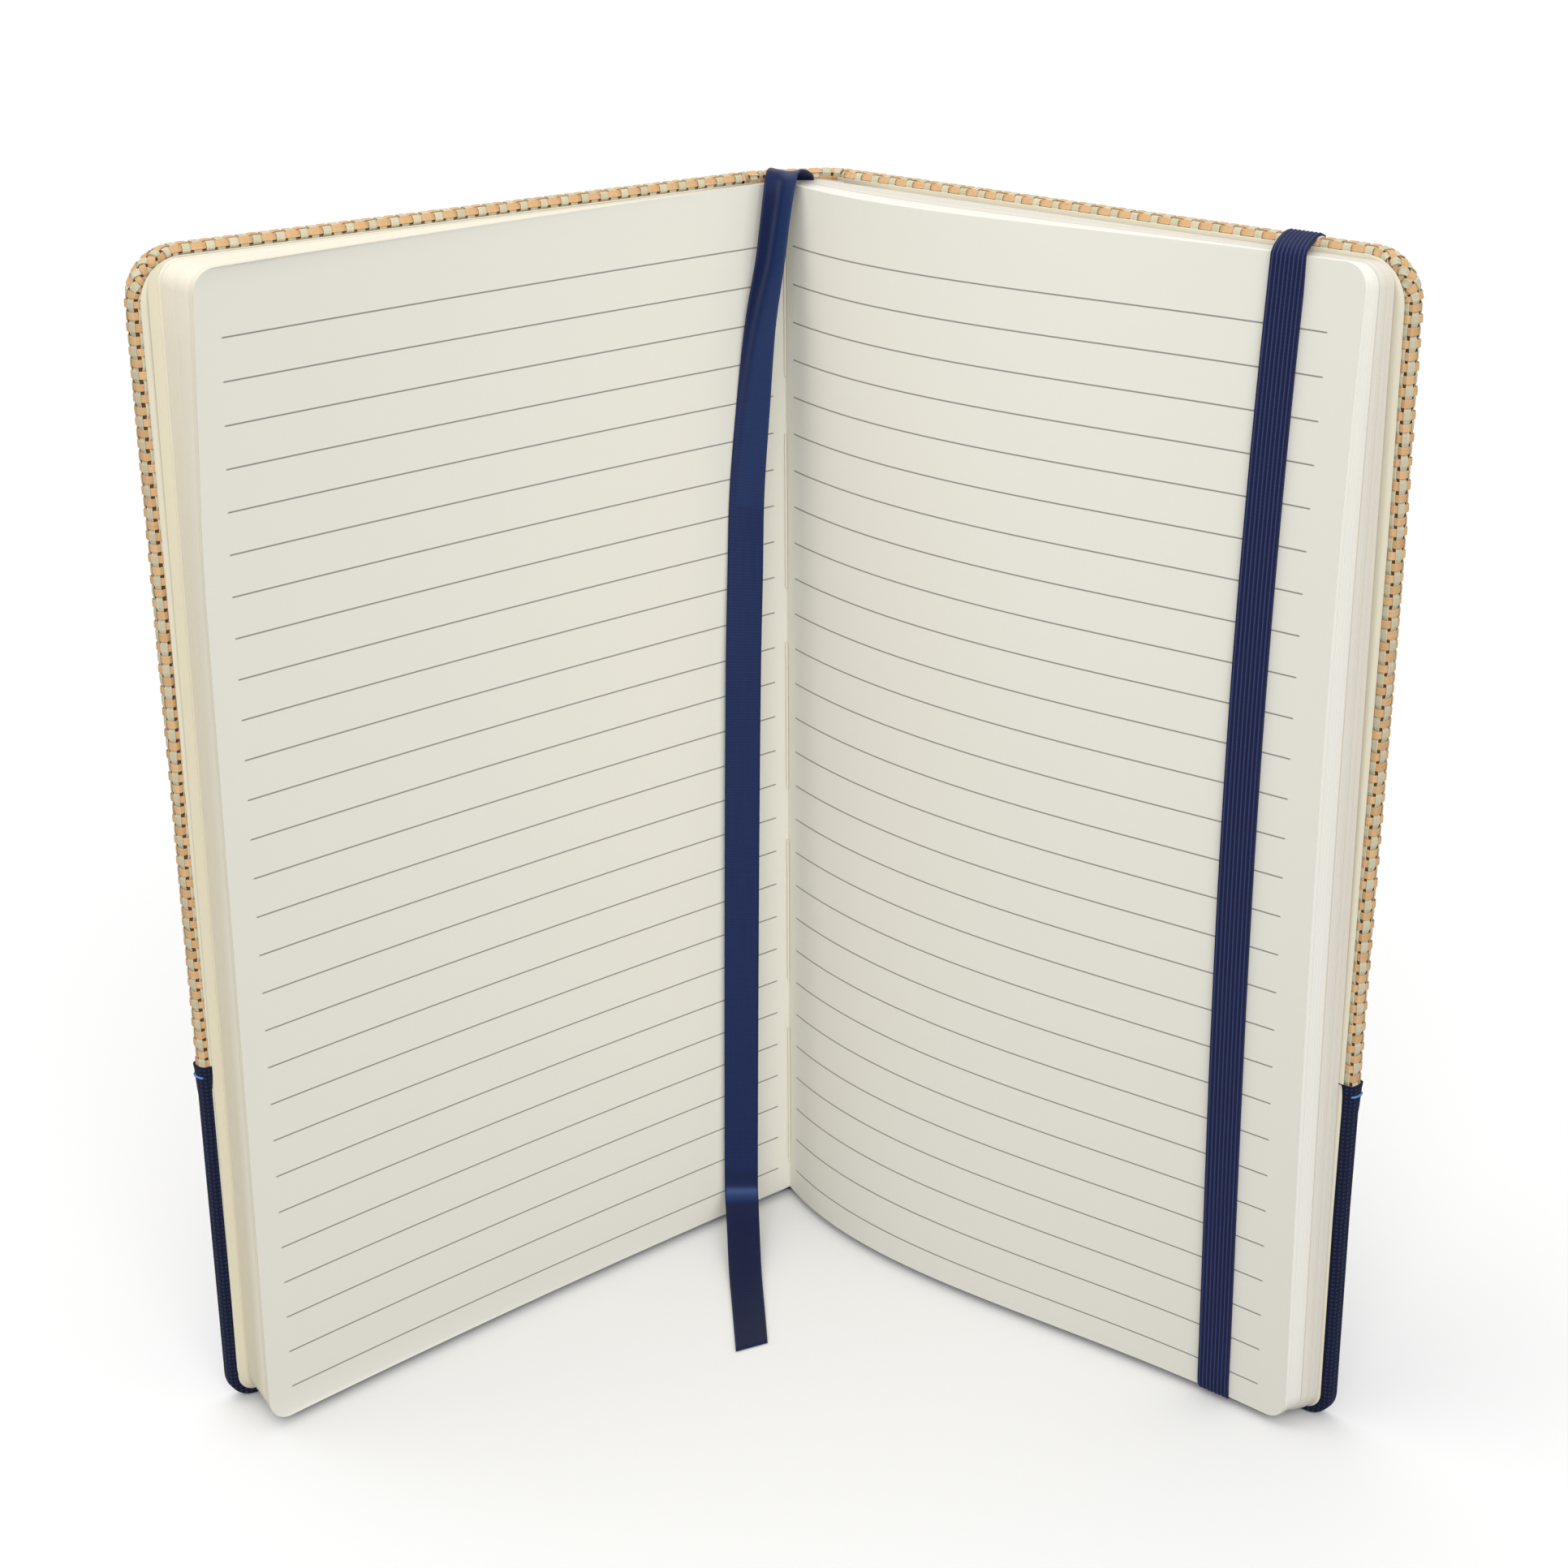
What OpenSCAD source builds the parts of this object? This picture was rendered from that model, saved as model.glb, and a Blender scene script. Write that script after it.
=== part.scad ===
// Case-bound notebook with straw-cloth covers, standing open on its foot edges.
// The origin is on the floor, at the middle of the spine strip's thickness and width.
// +Z is up, the pages open towards -Y, and the front cover is on the -X side.

/* [Covers] */
// Height of the covers, from foot to head
cover_h = 209.6; // [150:0.1:300]
// Width of one cover, from the middle of its joint to its fore-edge
cover_w = 126; // [90:0.5:220]
// Radius of the two outer corners of a cover
cover_corner_r = 8.5; // [5:0.5:14]
// Thickness of the greyboard in each cover
board_t = 1.9; // [1.5:0.1:3]
// Width of the card strip in the spine
spine_w = 9.2; // [8:0.1:20]
// Thickness of the card strip in the spine
spine_card_t = 0.7; // [0.5:0.1:2]
// Width of the cloth joint between the spine strip and a cover board
joint_w = 6.4; // [4:0.1:10]

/* [Opening] */
// Angle between the spine strip and the X axis
spine_angle = 11.5; // [5:0.5:20]
// Angle between the front cover and the X axis
front_angle = 38.2; // [30:0.1:50]
// Angle between the back cover and the X axis
back_angle = 45.2; // [38:0.1:55]

/* [Straw cloth] */
// Thickness of the straw cloth over the board
straw_t = 0.8; // [0.6:0.05:1.2]
// Distance from one raised strand to the next
strand_pitch = 3.8; // [3:0.1:8]
// Width of a raised strand
strand_w = 1.7; // [1:0.1:2.4]
// Height of the upright strands above the cloth
upright_relief = 0.2; // [0.1:0.05:0.3]
// Height of the level strands above the cloth
level_relief = 0.3; // [0.1:0.05:0.35]
// Length that a level strand shows before it dives under
level_reach = 11; // [5:0.5:14]
// Width of a gap between strands
gap_w = 0.9; // [0.5:0.1:1.2]
// Number of rows of gaps beside the fore-edge
gap_rows = 3; // [1:1:3]
// Width of the cloth turned in over a board's inner face
turn_in_w = 14; // [8:1:20]
// Thickness of the turned-in cloth
turn_in_t = 0.4; // [0.3:0.05:0.6]

/* [Canvas band] */
// Height of the canvas band, from the foot
band_h = 68.5; // [40:0.5:100]
// Thickness of the canvas
band_t = 0.5; // [0.4:0.05:0.6]
// Height of the hem that laps over the straw cloth
hem_h = 6; // [4:0.5:10]
// Distance from the hem's top edge down to the row of stitches
stitch_drop = 2; // [1:0.5:3.5]
// Length of one stitch
stitch_len = 2.6; // [1.5:0.1:3]
// Distance from one stitch to the next
stitch_pitch = 3.6; // [3.3:0.1:6]
// Thickness of the stitching thread
stitch_d = 0.5; // [0.3:0.05:0.6]

/* [Pages] */
// Distance that the covers reach past the leaves at the foot
page_foot = 2.2; // [1.5:0.1:4]
// Distance that the covers reach past the leaves at the head
head_gap = 1.8; // [1.5:0.1:4]
// Distance that the covers reach past the leaves at the fore-edge
fore_edge_gap = 2.2; // [1.8:0.1:5]
// Radius of the outer corners of the leaves
page_corner_r = 5; // [3:0.5:9]
// Thickness of an endpaper sheet
endpaper_t = 0.2; // [0.15:0.05:0.3]
// Bare cloth left around an endpaper pasted to its cover
rim_w = 1.8; // [1.4:0.1:3]
// Air between the pasted endpaper and the flyleaf
flyleaf_gap = 0.35; // [0.3:0.05:0.6]
// Height of the centre fold above the back cover's endpaper
fold_rise = 7.1; // [6:0.1:12]
// Distance from the back joint to the centre fold, along the back cover
fold_past = 3.4; // [2:0.1:5]
// Thickness of the right-hand leaves at the fore-edge, half-way up
right_edge_t = 8.7; // [7:0.1:14]
// Thickness of the right-hand leaves at their head corner, under the elastic
right_head_t = 4.6; // [4:0.1:12]
// Thickness of the right-hand leaves at their foot corner
right_foot_t = 7.2; // [4:0.1:12]
// How steeply the right-hand leaves rise from the fold, half-way up
right_rise = 37.9; // [10:0.1:50]
// How steeply they rise at the head and the foot
right_end_rise = 54; // [10:0.5:60]
// Distance that the right-hand fore-edge slants inwards, from the cover to the top leaf
right_slant = 1.6; // [0:0.1:4]
// Thickness of the fanned left-hand leaves at the fore-edge
left_edge_t = 11.6; // [8:0.1:14]
// Depth that the left-hand leaves sag between the fold and the fore-edge
left_sag = 1.2; // [0:0.1:2]
// Number of leaf bundles that show as steps in a fore-edge
bundles = 5; // [3:1:8]
// Depth of the step from one leaf bundle to the next
bundle_step = 0.35; // [0.2:0.05:0.5]
// Width of the block's glued back
block_back_w = 8.8; // [7.5:0.1:9]
// Thickness of the paper lining glued to the block's back
lining_t = 0.15; // [0.1:0.05:0.3]
// Space between the lining and the spine strip
hollow_t = 0.15; // [0.1:0.05:0.5]

/* [Sewing thread] */
// Thickness of the sewing thread
thread_d = 0.4; // [0.3:0.05:0.6]
// Length of one stitch along the centre fold
thread_len = 30; // [15:1:40]
// Distance from one stitch to the next
thread_pitch = 41; // [41:1:48]

/* [Elastic] */
// Width of the elastic band
elastic_w = 6.8; // [5:0.1:10]
// Thickness of the elastic band
elastic_t = 0.9; // [0.7:0.05:1.2]
// Distance from the fore-edge to the middle of the elastic
elastic_inset = 20; // [15:0.5:30]
// Number of ribs along the elastic
elastic_ribs = 8; // [4:1:10]
// Depth of the grooves between the ribs
elastic_groove = 0.25; // [0.1:0.05:0.35]
// Depth that the elastic has sunk into the head edge of the cover
head_dent = 0.4; // [0.2:0.05:0.5]
// Length of the elastic down the outside of the cover, to its slit
elastic_tail = 12; // [10:1:25]

/* [Ribbon] */
// Width of the ribbon bookmark
ribbon_w = 6.7; // [4:0.1:7]
// Thickness of the ribbon bookmark
ribbon_t = 0.3; // [0.2:0.05:0.4]

/* [Hidden] */

straw_colour = "#D9B483";
canvas_colour = "#232B4A";
stitch_colour = "#4A7FC1";
paper_colour = "#E5E4DC";
board_colour = "#9C968A";
thread_colour = "#EDEBE2";
ribbon_colour = "#22335F";

// Straight steps in the half-round edge of a cover, and the roundness of its corners
round_steps = 6;
corner_fn = 64;
// Slack that lets a cutter pass clean through what it cuts
eps = 0.5;
// Half of the slot left in the cloth along the front joint, where the cover turns
hinge_clear = 0.35;
// Clearance that lets one piece lie beside another
seat_clear = 0.05;
// Number of cuts along and up the leaf block, and round its corners
leaf_steps = 18;
level_steps = 8;
corner_steps = 4;
// Share by which the cuts crowd towards the centre fold
crowding = 0.45;
// How fast the right-hand leaves flatten away from the fold, half-way up and at both ends
rise_power = 1.6;
end_rise_power = 2.4;
// Direction in plan from the centre fold out between the pages, and the thread's reach that way
thread_way = 262;
thread_reach = 1.1 * thread_d;
// Number of cuts along the elastic down the leaves, and its slack below their foot
elastic_steps = 12;
foot_slack = 0.3;
// Share of a rib's width in each of its sloping sides, and the sharpest corner that keeps its thickness
rib_side = 0.2;
sharpest = 0.7;

cover_t = board_t + straw_t + turn_in_t;
spine_t = spine_card_t + straw_t;
board_corner_r = cover_corner_r - straw_t;
canvas_corner_r = board_corner_r + band_t;
board_u0 = joint_w / 2;
page_h = cover_h - page_foot - head_gap;
head_z = page_foot + page_h;
hem_z = band_h - hem_h;
band_skin = straw_t - band_t;

// Plan point at s along the spine and t inwards from its outer face
joint_s = (spine_w + joint_w) / 2;
function spine_pt(s, t) =
    let (c = cos(spine_angle), n = sin(spine_angle), r = spine_t / 2 - t)
    [s * c - r * n, s * n + r * c];
front_joint = spine_pt(-joint_s, 0);
back_joint = spine_pt(joint_s, 0);
// Where the canvas over the spine ends: at the slot, and just short of the back joint
spine_s0 = hinge_clear - joint_s;
spine_s1 = joint_s - seat_clear;

// Plan point at u along a cover and w inwards from its outer face
function front_pt(u, w) =
    [front_joint[0] - u * cos(front_angle) + w * sin(front_angle),
     front_joint[1] - u * sin(front_angle) - w * cos(front_angle)];
function back_pt(u, w) =
    [back_joint[0] + u * cos(back_angle) - w * sin(back_angle),
     back_joint[1] - u * sin(back_angle) - w * cos(back_angle)];
function lift(p, z) = [p[0], p[1], z];

// Place a cover drawn with u along X, w along Y and its foot on Z = 0
module at_front() {
    translate(lift(front_joint, 0)) rotate([0, 0, 180 + front_angle]) children();
}
module at_back() {
    translate(lift(back_joint, 0)) rotate([0, 0, -back_angle]) mirror([0, 1, 0]) children();
}
// Place a spine piece drawn with s along X and t along Y
module at_spine() {
    translate(lift(spine_pt(0, 0), 0)) rotate([0, 0, spine_angle]) mirror([0, 1, 0]) children();
}

// A flat shape in u and z, given a thickness from w0 to w1
module slab(w0, w1) {
    translate([0, w1, 0]) rotate([90, 0, 0]) linear_extrude(w1 - w0) children();
}

// Outline in u and z of a cover or a leaf with two round fore-edge corners
module leaf_outline(u0, u1, z0, z1, r) {
    translate([u0, z0]) square([u1 - u0 - r, z1 - z0]);
    translate([u1 - r - eps, z0 + r]) square([r + eps, z1 - z0 - 2 * r]);
    for (z = [z0 + r, z1 - r]) translate([u1 - r, z]) circle(r, $fn = corner_fn);
}

// Half-round end of a section at x1, between w0 and w1
function round_end(x1, w0, w1) =
    let (r = (w1 - w0) / 2)
    [for (i = [0 : round_steps]) let (a = -90 + 180 * i / round_steps)
        [x1 - r + r * cos(a), w0 + r + r * sin(a)]];
function bullnose(x0, x1, w0, w1) = concat([[x0, w0]], round_end(x1, w0, w1), [[x0, w1]]);

// Section of the straw cloth, with the crowns of the upright strands on its outer face
upright_n = floor((cover_w - cover_t - board_u0) / strand_pitch);
function upright_u(i) = cover_w - cover_t - (i + 0.5) * strand_pitch;
function crowned() = concat([[board_u0, 0]],
    [for (i = [upright_n - 1 : -1 : 0]) each
        [[upright_u(i) - strand_w / 2, 0], [upright_u(i) - strand_w / 4, -upright_relief],
         [upright_u(i) + strand_w / 4, -upright_relief], [upright_u(i) + strand_w / 2, 0]]],
    round_end(cover_w, 0, cover_t), [[board_u0, cover_t]]);

// Upper end of a wrapped cover: a half-round head edge that turns the corner
module wrapped_head(u1, w0, w1, z1, r) {
    translate([board_u0, 0, z1 - r]) rotate([90, 0, 90]) linear_extrude(u1 - r - board_u0)
        polygon([for (p = bullnose(0, r, w0, w1)) [p[1], p[0]]]);
    translate([u1 - r, 0, z1 - r]) mirror([0, 1, 0]) rotate([90, 0, 0])
        rotate_extrude(angle = 90, $fn = corner_fn) polygon(bullnose(0, r, w0, w1));
}
module wrapped_foot(u1, w0, w1, r) {
    translate([0, 0, r]) mirror([0, 0, 1]) wrapped_head(u1, w0, w1, r, r);
}

// Greyboard of a cover: pressed thinner round its rim, where the cloth is turned in
module cover_board() {
    slab(straw_t, straw_t + board_t)
        leaf_outline(board_u0, cover_w - straw_t, band_t, cover_h - straw_t, board_corner_r);
    slab(straw_t + board_t - seat_clear, cover_t)
        leaf_outline(board_u0, cover_w - turn_in_w, turn_in_w, cover_h - turn_in_w, board_corner_r);
}

// Straw cloth of a cover, before the board is taken out of it
module straw_wrap() {
    high = cover_h - cover_corner_r;
    translate([0, 0, hem_z]) linear_extrude(hem_h) polygon(bullnose(board_u0, cover_w, 0, cover_t));
    translate([0, 0, band_h]) linear_extrude(high - band_h) polygon(crowned());
    wrapped_head(cover_w, 0, cover_t, cover_h, cover_corner_r);
    for (i = [0 : level_n - 1]) translate([0, 0, level_z(i)]) linear_extrude(strand_w)
        polygon(bullnose(cover_w - level_reach, cover_w + level_relief, -level_relief, cover_t));
}
level_n = floor((cover_h - cover_corner_r - band_h) / strand_pitch);
function level_z(i) = band_h + (i + 0.5) * strand_pitch - strand_w / 2;

// Gaps of the weave, between the crowns that lie nearest the fore-edge
module straw_gaps() {
    for (i = [1 : level_n - 1], j = [0 : gap_rows - 1])
        translate([upright_u(j) - (strand_pitch + gap_w) / 2, -eps,
                   level_z(i) - (strand_pitch - strand_w + gap_w) / 2])
            cube([gap_w, eps + straw_t / 2, gap_w]);
}

// Section in u and w of the straw cloth between a board and the front joint. The front
// cover's is straight. The back cover's bends at its joint and crosses the spine.
bend = spine_angle + back_angle;
spine_end = (2 * joint_s - hinge_clear) * [-cos(bend), sin(bend)];
front_strip = [[board_u0, 0], [board_u0, straw_t], [hinge_clear, straw_t], [hinge_clear, 0]];
back_strip = [[board_u0, 0], [board_u0, straw_t], [straw_t * tan(bend / 2), straw_t],
    spine_end + straw_t * [sin(bend), cos(bend)], spine_end, [0, 0]];

module straw_cover(strip) {
    difference() {
        union() {
            straw_wrap();
            translate([0, 0, hem_z]) linear_extrude(cover_h - hem_z) polygon(strip);
        }
        cover_board();
        straw_gaps();
    }
}

module front_board() { color(board_colour) at_front() cover_board(); }

module back_board() {
    color(board_colour) at_back() difference() {
        cover_board();
        elastic_bed(band_t);
        elastic_slits();
    }
}

module spine_card() {
    color(board_colour) at_spine() translate([-spine_w / 2, straw_t, band_t])
        cube([spine_w, spine_card_t, cover_h - straw_t - band_t]);
}

module front_straw_cloth() { color(straw_colour) at_front() straw_cover(front_strip); }

// The straw cloth of the back cover, carried on over the spine to the front joint
module back_straw_cloth() {
    color(straw_colour) {
        at_back() difference() {
            straw_cover(back_strip);
            elastic_head_bed();
            elastic_slits();
        }
        at_spine() translate([-spine_w / 2, straw_t / 2, cover_h - straw_t])
            cube([spine_w, spine_t - straw_t / 2, straw_t]);
    }
}

// Canvas of a cover below the straw cloth, and the hem that laps over it
module canvas_cover(joint_end) {
    outer_u = cover_w - band_skin;
    difference() {
        union() {
            translate([0, 0, canvas_corner_r]) linear_extrude(hem_z - canvas_corner_r)
                polygon(bullnose(board_u0, outer_u, band_skin, cover_t));
            wrapped_foot(outer_u, band_skin, cover_t, canvas_corner_r);
            translate([0, 0, hem_z - band_t]) linear_extrude(hem_h + band_t)
                polygon(bullnose(board_u0, cover_w + band_t, -band_t, cover_t));
            translate([joint_end, 0, 0]) canvas_strip(board_u0 - joint_end);
        }
        cover_board();
        translate([0, 0, hem_z]) linear_extrude(hem_h + eps)
            polygon(bullnose(board_u0 - eps, cover_w, 0, cover_t + eps));
    }
}

// Canvas across a joint or the spine, from its foot to the top of its hem
module canvas_strip(length) {
    translate([0, band_skin, 0]) cube([length, band_t, hem_z]);
    translate([0, -band_t, hem_z]) cube([length, band_t, hem_h]);
    translate([0, -band_t, hem_z - band_t]) cube([length, band_t + straw_t, band_t]);
}

module front_canvas_band() { color(canvas_colour) at_front() canvas_cover(hinge_clear); }

module back_canvas_band() {
    color(canvas_colour) {
        at_back() difference() {
            canvas_cover(0);
            elastic_bed(0);
            elastic_slits();
        }
        at_spine() translate([spine_s0, 0, 0]) canvas_strip(spine_s1 - spine_s0);
        at_spine() translate([-spine_w / 2, (band_skin + straw_t) / 2, 0])
            cube([spine_w, spine_t - (band_skin + straw_t) / 2, band_t]);
    }
}

// A row of stitches along the hem, from one u to another
module stitch_row(from, to) {
    for (u = [from : stitch_pitch : to - stitch_len])
        translate([u, -band_t - stitch_d / 2, band_h - stitch_drop])
            rotate([0, 90, 0]) cylinder(d = stitch_d, h = stitch_len, $fn = 16);
}

module front_band_stitches() {
    color(stitch_colour) at_front() stitch_row(board_u0, cover_w - cover_t);
}

module back_band_stitches() {
    color(stitch_colour) {
        at_back() stitch_row(board_u0, cover_w - cover_t);
        at_spine() stitch_row(-spine_w / 2, spine_w / 2);
    }
}

// An endpaper pasted over a board and the edges of the cloth turned in on it
module pasted_paper() {
    slab(cover_t, cover_t + endpaper_t)
        leaf_outline(board_u0, cover_w - rim_w, rim_w, cover_h - rim_w, cover_corner_r - rim_w);
}

module front_endpaper() { color(paper_colour) at_front() pasted_paper(); }
module back_endpaper() { color(paper_colour) at_back() pasted_paper(); }

// The free front leaf, against the fanned leaves and clear of the pasted endpaper
flyleaf_w0 = cover_t + endpaper_t + flyleaf_gap;
flyleaf_w1 = flyleaf_w0 + endpaper_t;
module front_flyleaf() {
    color(paper_colour) at_front() slab(flyleaf_w0, flyleaf_w1)
        leaf_outline(board_u0, cover_w - fore_edge_gap, page_foot, page_foot + page_h, page_corner_r);
}

module spine_lining() {
    color(paper_colour) at_spine() translate([-block_back_w / 2, spine_t + hollow_t, page_foot])
        cube([block_back_w, lining_t, page_h]);
}

// Right-hand leaves: their height above the endpaper at u, when h runs 0 to 1 from foot to head
right_w0 = cover_t + endpaper_t;
fold_u = -fold_past;
left_top_u = cover_w - fore_edge_gap;
top_leaf_u = left_top_u - right_slant;
function ends(foot, head, h) = foot + (head - foot) * h;
function blend(foot, middle, head, h) =
    let (m = 4 * h * (1 - h)) middle * m + ends(foot, head, h) * (1 - m);
function right_w(u, h) =
    let (t = max(0, min(1, (u - fold_u) / (top_leaf_u - fold_u))),
         edge = blend(right_foot_t, right_edge_t, right_head_t, h),
         rise = blend(right_end_rise, right_rise, right_end_rise, h),
         power = blend(end_rise_power, rise_power, end_rise_power, h))
    right_w0 + fold_rise * (1 - t) + edge * t + rise * t * pow(1 - t, power);
fold_pt = back_pt(fold_u, right_w0 + fold_rise);

// Width lost to the round corner of a leaf, e away from its head or foot
function corner_cut(e) = e >= page_corner_r ? 0
    : page_corner_r - sqrt(page_corner_r * page_corner_r - pow(page_corner_r - e, 2));

// Front of the leaves on one side, between the centre fold and the fore-edge
function right_front(h, cut) =
    [for (i = [1 : leaf_steps - 1]) let (t = i / leaf_steps,
        u = fold_u + t * (1 - crowding * (1 - t)) * (top_leaf_u - cut - fold_u))
        back_pt(u, right_w(u, h))];
function left_front(cut) =
    let (a = fold_pt, b = front_pt(left_top_u - cut, flyleaf_w1 + left_edge_t),
         n = [-sin(front_angle), cos(front_angle)])
    [for (i = [leaf_steps / 2 - 1 : -1 : 1]) let (t = 2 * i / leaf_steps)
        a + (b - a) * t + n * left_sag * 4 * t * (1 - t)];

// Fore-edge of the leaves, in bundles that step back and forth
function right_edge(h, cut) =
    let (w_top = right_w(top_leaf_u, h))
    [for (b = [1 : bundles], side = [0, 1])
        let (f = (b - 1 + side) / bundles,
             step = b % 2 == 0 ? bundle_step : 0)
        back_pt(top_leaf_u - cut + right_slant * f - step, w_top + (right_w0 - w_top) * f)];
function left_edge(cut) =
    [for (b = [1 : bundles], side = [0, 1])
        let (f = (b - 1 + side) / bundles,
             step = b % 2 == 0 ? bundle_step : 0)
        front_pt(left_top_u - cut - step, flyleaf_w1 + left_edge_t * f)];

// One level cut through the block, anticlockwise from the fold
function leaf_ring(h, cut) = concat(
    [fold_pt], right_front(h, cut), right_edge(h, cut),
    [back_pt(board_u0, right_w0),
     spine_pt(block_back_w / 2, spine_t + hollow_t + lining_t),
     spine_pt(-block_back_w / 2, spine_t + hollow_t + lining_t),
     front_pt(board_u0, flyleaf_w1)],
    left_edge(cut), left_front(cut));

// Heights of the cuts: close together in the round corners, even between them
function corner_e(i) = page_corner_r * (1 - cos(90 * i / corner_steps));
leaf_levels = concat(
    [for (i = [0 : corner_steps]) corner_e(i)],
    [for (i = [1 : level_steps - 1])
        page_corner_r + (page_h - 2 * page_corner_r) * i / level_steps],
    [for (i = [corner_steps : -1 : 0]) page_h - corner_e(i)]);

// Skin over rings that all have the same number of points
function skin_faces(rings, n) = concat(
    [[for (i = [0 : n - 1]) i]],
    [for (k = [0 : rings - 2], i = [0 : n - 1]) each
        let (a = k * n + i, b = k * n + (i + 1) % n) [[a, a + n, b + n], [a, b + n, b]]],
    [[for (i = [n - 1 : -1 : 0]) (rings - 1) * n + i]]);

module page_block() {
    rings = [for (e = leaf_levels)
        [for (p = leaf_ring(e / page_h, corner_cut(min(e, page_h - e)))) lift(p, page_foot + e)]];
    color(paper_colour) polyhedron([for (r = rings) each r],
        skin_faces(len(rings), len(rings[0])), convexity = 6);
}

// The thread that shows as long stitches in the centre fold
module sewing_thread() {
    n = floor((page_h - thread_len) / thread_pitch);
    first = page_foot + (page_h - thread_len - n * thread_pitch) / 2;
    at = fold_pt + thread_reach * [cos(thread_way), sin(thread_way)];
    color(thread_colour) for (i = [0 : n]) translate(lift(at, first + i * thread_pitch))
        cylinder(d = thread_d, h = thread_len, $fn = 16);
}

// Route of the elastic in w and z: slit, head, down the leaves, foot, slit
elastic_u = cover_w - elastic_inset;
function elastic_leaf_w(u, h) = right_w(u, h) + seat_clear + elastic_t / 2;
elastic_levels = [for (i = [elastic_steps : -1 : 0]) i / elastic_steps];
function elastic_route(u) =
    let (out = -elastic_t / 2 - upright_relief, over = cover_h - head_dent + elastic_t / 2,
         fold = elastic_leaf_w(u, 1), low = elastic_leaf_w(u, 0))
    concat([[cover_t, cover_h - elastic_tail], [out, cover_h - elastic_tail],
            [out, over - elastic_t / 2], [out + elastic_t / 2, over], [cover_t, over],
            [fold - elastic_t, head_z + seat_clear + elastic_t / 2]],
           [for (h = elastic_levels) [elastic_leaf_w(u, h), page_foot + page_h * h]],
           [[low - elastic_t / 2, page_foot - seat_clear - elastic_t / 2 - foot_slack],
            [cover_t, elastic_t / 2], [out + elastic_t / 2, elastic_t / 2],
            [out, elastic_t], [out, elastic_tail], [cover_t, elastic_tail]]);

// Unit normal of a route at point i, stretched so that the strip keeps its thickness
function way(a, b) = (b - a) / norm(b - a);
function route_normal(p, i) =
    let (d0 = way(p[max(i - 1, 0)], p[max(i, 1)]),
         d1 = way(p[min(i, len(p) - 2)], p[min(i + 1, len(p) - 1)]),
         m = way([0, 0], d0 + d1))
    [-m[1], m[0]] / max(sharpest, m * d1);

// Section of the elastic across its width: flat behind, ribbed in front
rib_pitch = elastic_w / elastic_ribs;
elastic_section = concat(
    [[elastic_w / 2, -elastic_t / 2], [-elastic_w / 2, -elastic_t / 2]],
    [for (i = [0 : elastic_ribs - 1]) each
        let (x = -elastic_w / 2 + i * rib_pitch)
        [[x, elastic_t / 2 - elastic_groove], [x + rib_pitch * rib_side, elastic_t / 2],
         [x + rib_pitch * (1 - rib_side), elastic_t / 2]]],
    [[elastic_w / 2, elastic_t / 2 - elastic_groove]]);

module elastic_closure() {
    routes = [for (s = elastic_section) elastic_route(elastic_u + s[0])];
    rings = [for (i = [0 : len(routes[0]) - 1])
        [for (j = [0 : len(routes) - 1])
            let (p = routes[j][i] + route_normal(routes[j], i) * elastic_section[j][1])
            lift(back_pt(elastic_u + elastic_section[j][0], p[0]), p[1])]];
    color(ribbon_colour) polyhedron([for (r = rings) each r],
        skin_faces(len(rings), len(rings[0])), convexity = 6);
}

// Room for the elastic: its slits, its bed under the foot and its dent in the head edge
module elastic_slits() {
    for (z = [elastic_tail, cover_h - elastic_tail])
        translate([elastic_u - elastic_w / 2, -2 * eps, z - elastic_t / 2])
            cube([elastic_w, cover_t + 4 * eps, elastic_t]);
}
module elastic_bed(extra) {
    translate([elastic_u - elastic_w / 2, -2 * eps, -eps])
        cube([elastic_w, cover_t + 4 * eps, eps + elastic_t + seat_clear + extra]);
}
module elastic_head_bed() {
    translate([elastic_u - elastic_w / 2, -2 * eps, cover_h - head_dent])
        cube([elastic_w, cover_t + 4 * eps, 2 * eps]);
}

// Route of the ribbon's middle, measured from the centre fold. Over the head of the leaves:
over_head = [[4.2, 1.7, 0.2], [4.1, 1.1, 2], [3.1, -0.4, 3.2], [1.3, -2.4, 3.4], [-0.3, -4.6, 2.2],
             [-0.9, -5.8, -0.8]];
// Down the left page, at shares of the height of its head
down_page = [[-1.7, -6.4, 0.97], [-2.7, -7.2, 0.934], [-4.5, -8.2, 0.881], [-6, -9.4, 0.808],
             [-7.3, -10.4, 0.731], [-7.8, -10.9, 0.654], [-8.3, -11.4, 0.568], [-8.8, -11.9, 0.433],
             [-9.3, -12.3, 0.265], [-9.7, -12.7, 0.106], [-9.8, -13, 0.053]];
// Down to the floor and out along it, at heights above where it lies flat
on_floor = [[-9.7, -14.4, 4], [-9.5, -17.4, 1], [-9.1, -23.4, 0.05], [-8.5, -35.4, 0], [-7.9, -47.4, 0],
            [-7.4, -60.2, 0]];
ribbon_route = concat(
    [for (p = over_head) lift(fold_pt, 0) + [p[0], p[1], head_z + p[2]]],
    [for (p = down_page) lift(fold_pt, 0) + [p[0], p[1], head_z * p[2]]],
    [for (p = on_floor) lift(fold_pt, 0) + [p[0], p[1], ribbon_t / 2 + seat_clear + p[2]]]);
// How far the ribbon's width is turned from the X axis at the first points of its route
ribbon_turn = [11, 5, -20, -30, -15];
function ribbon_turn_at(i) = i < len(ribbon_turn) ? ribbon_turn[i] : 0;

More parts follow.
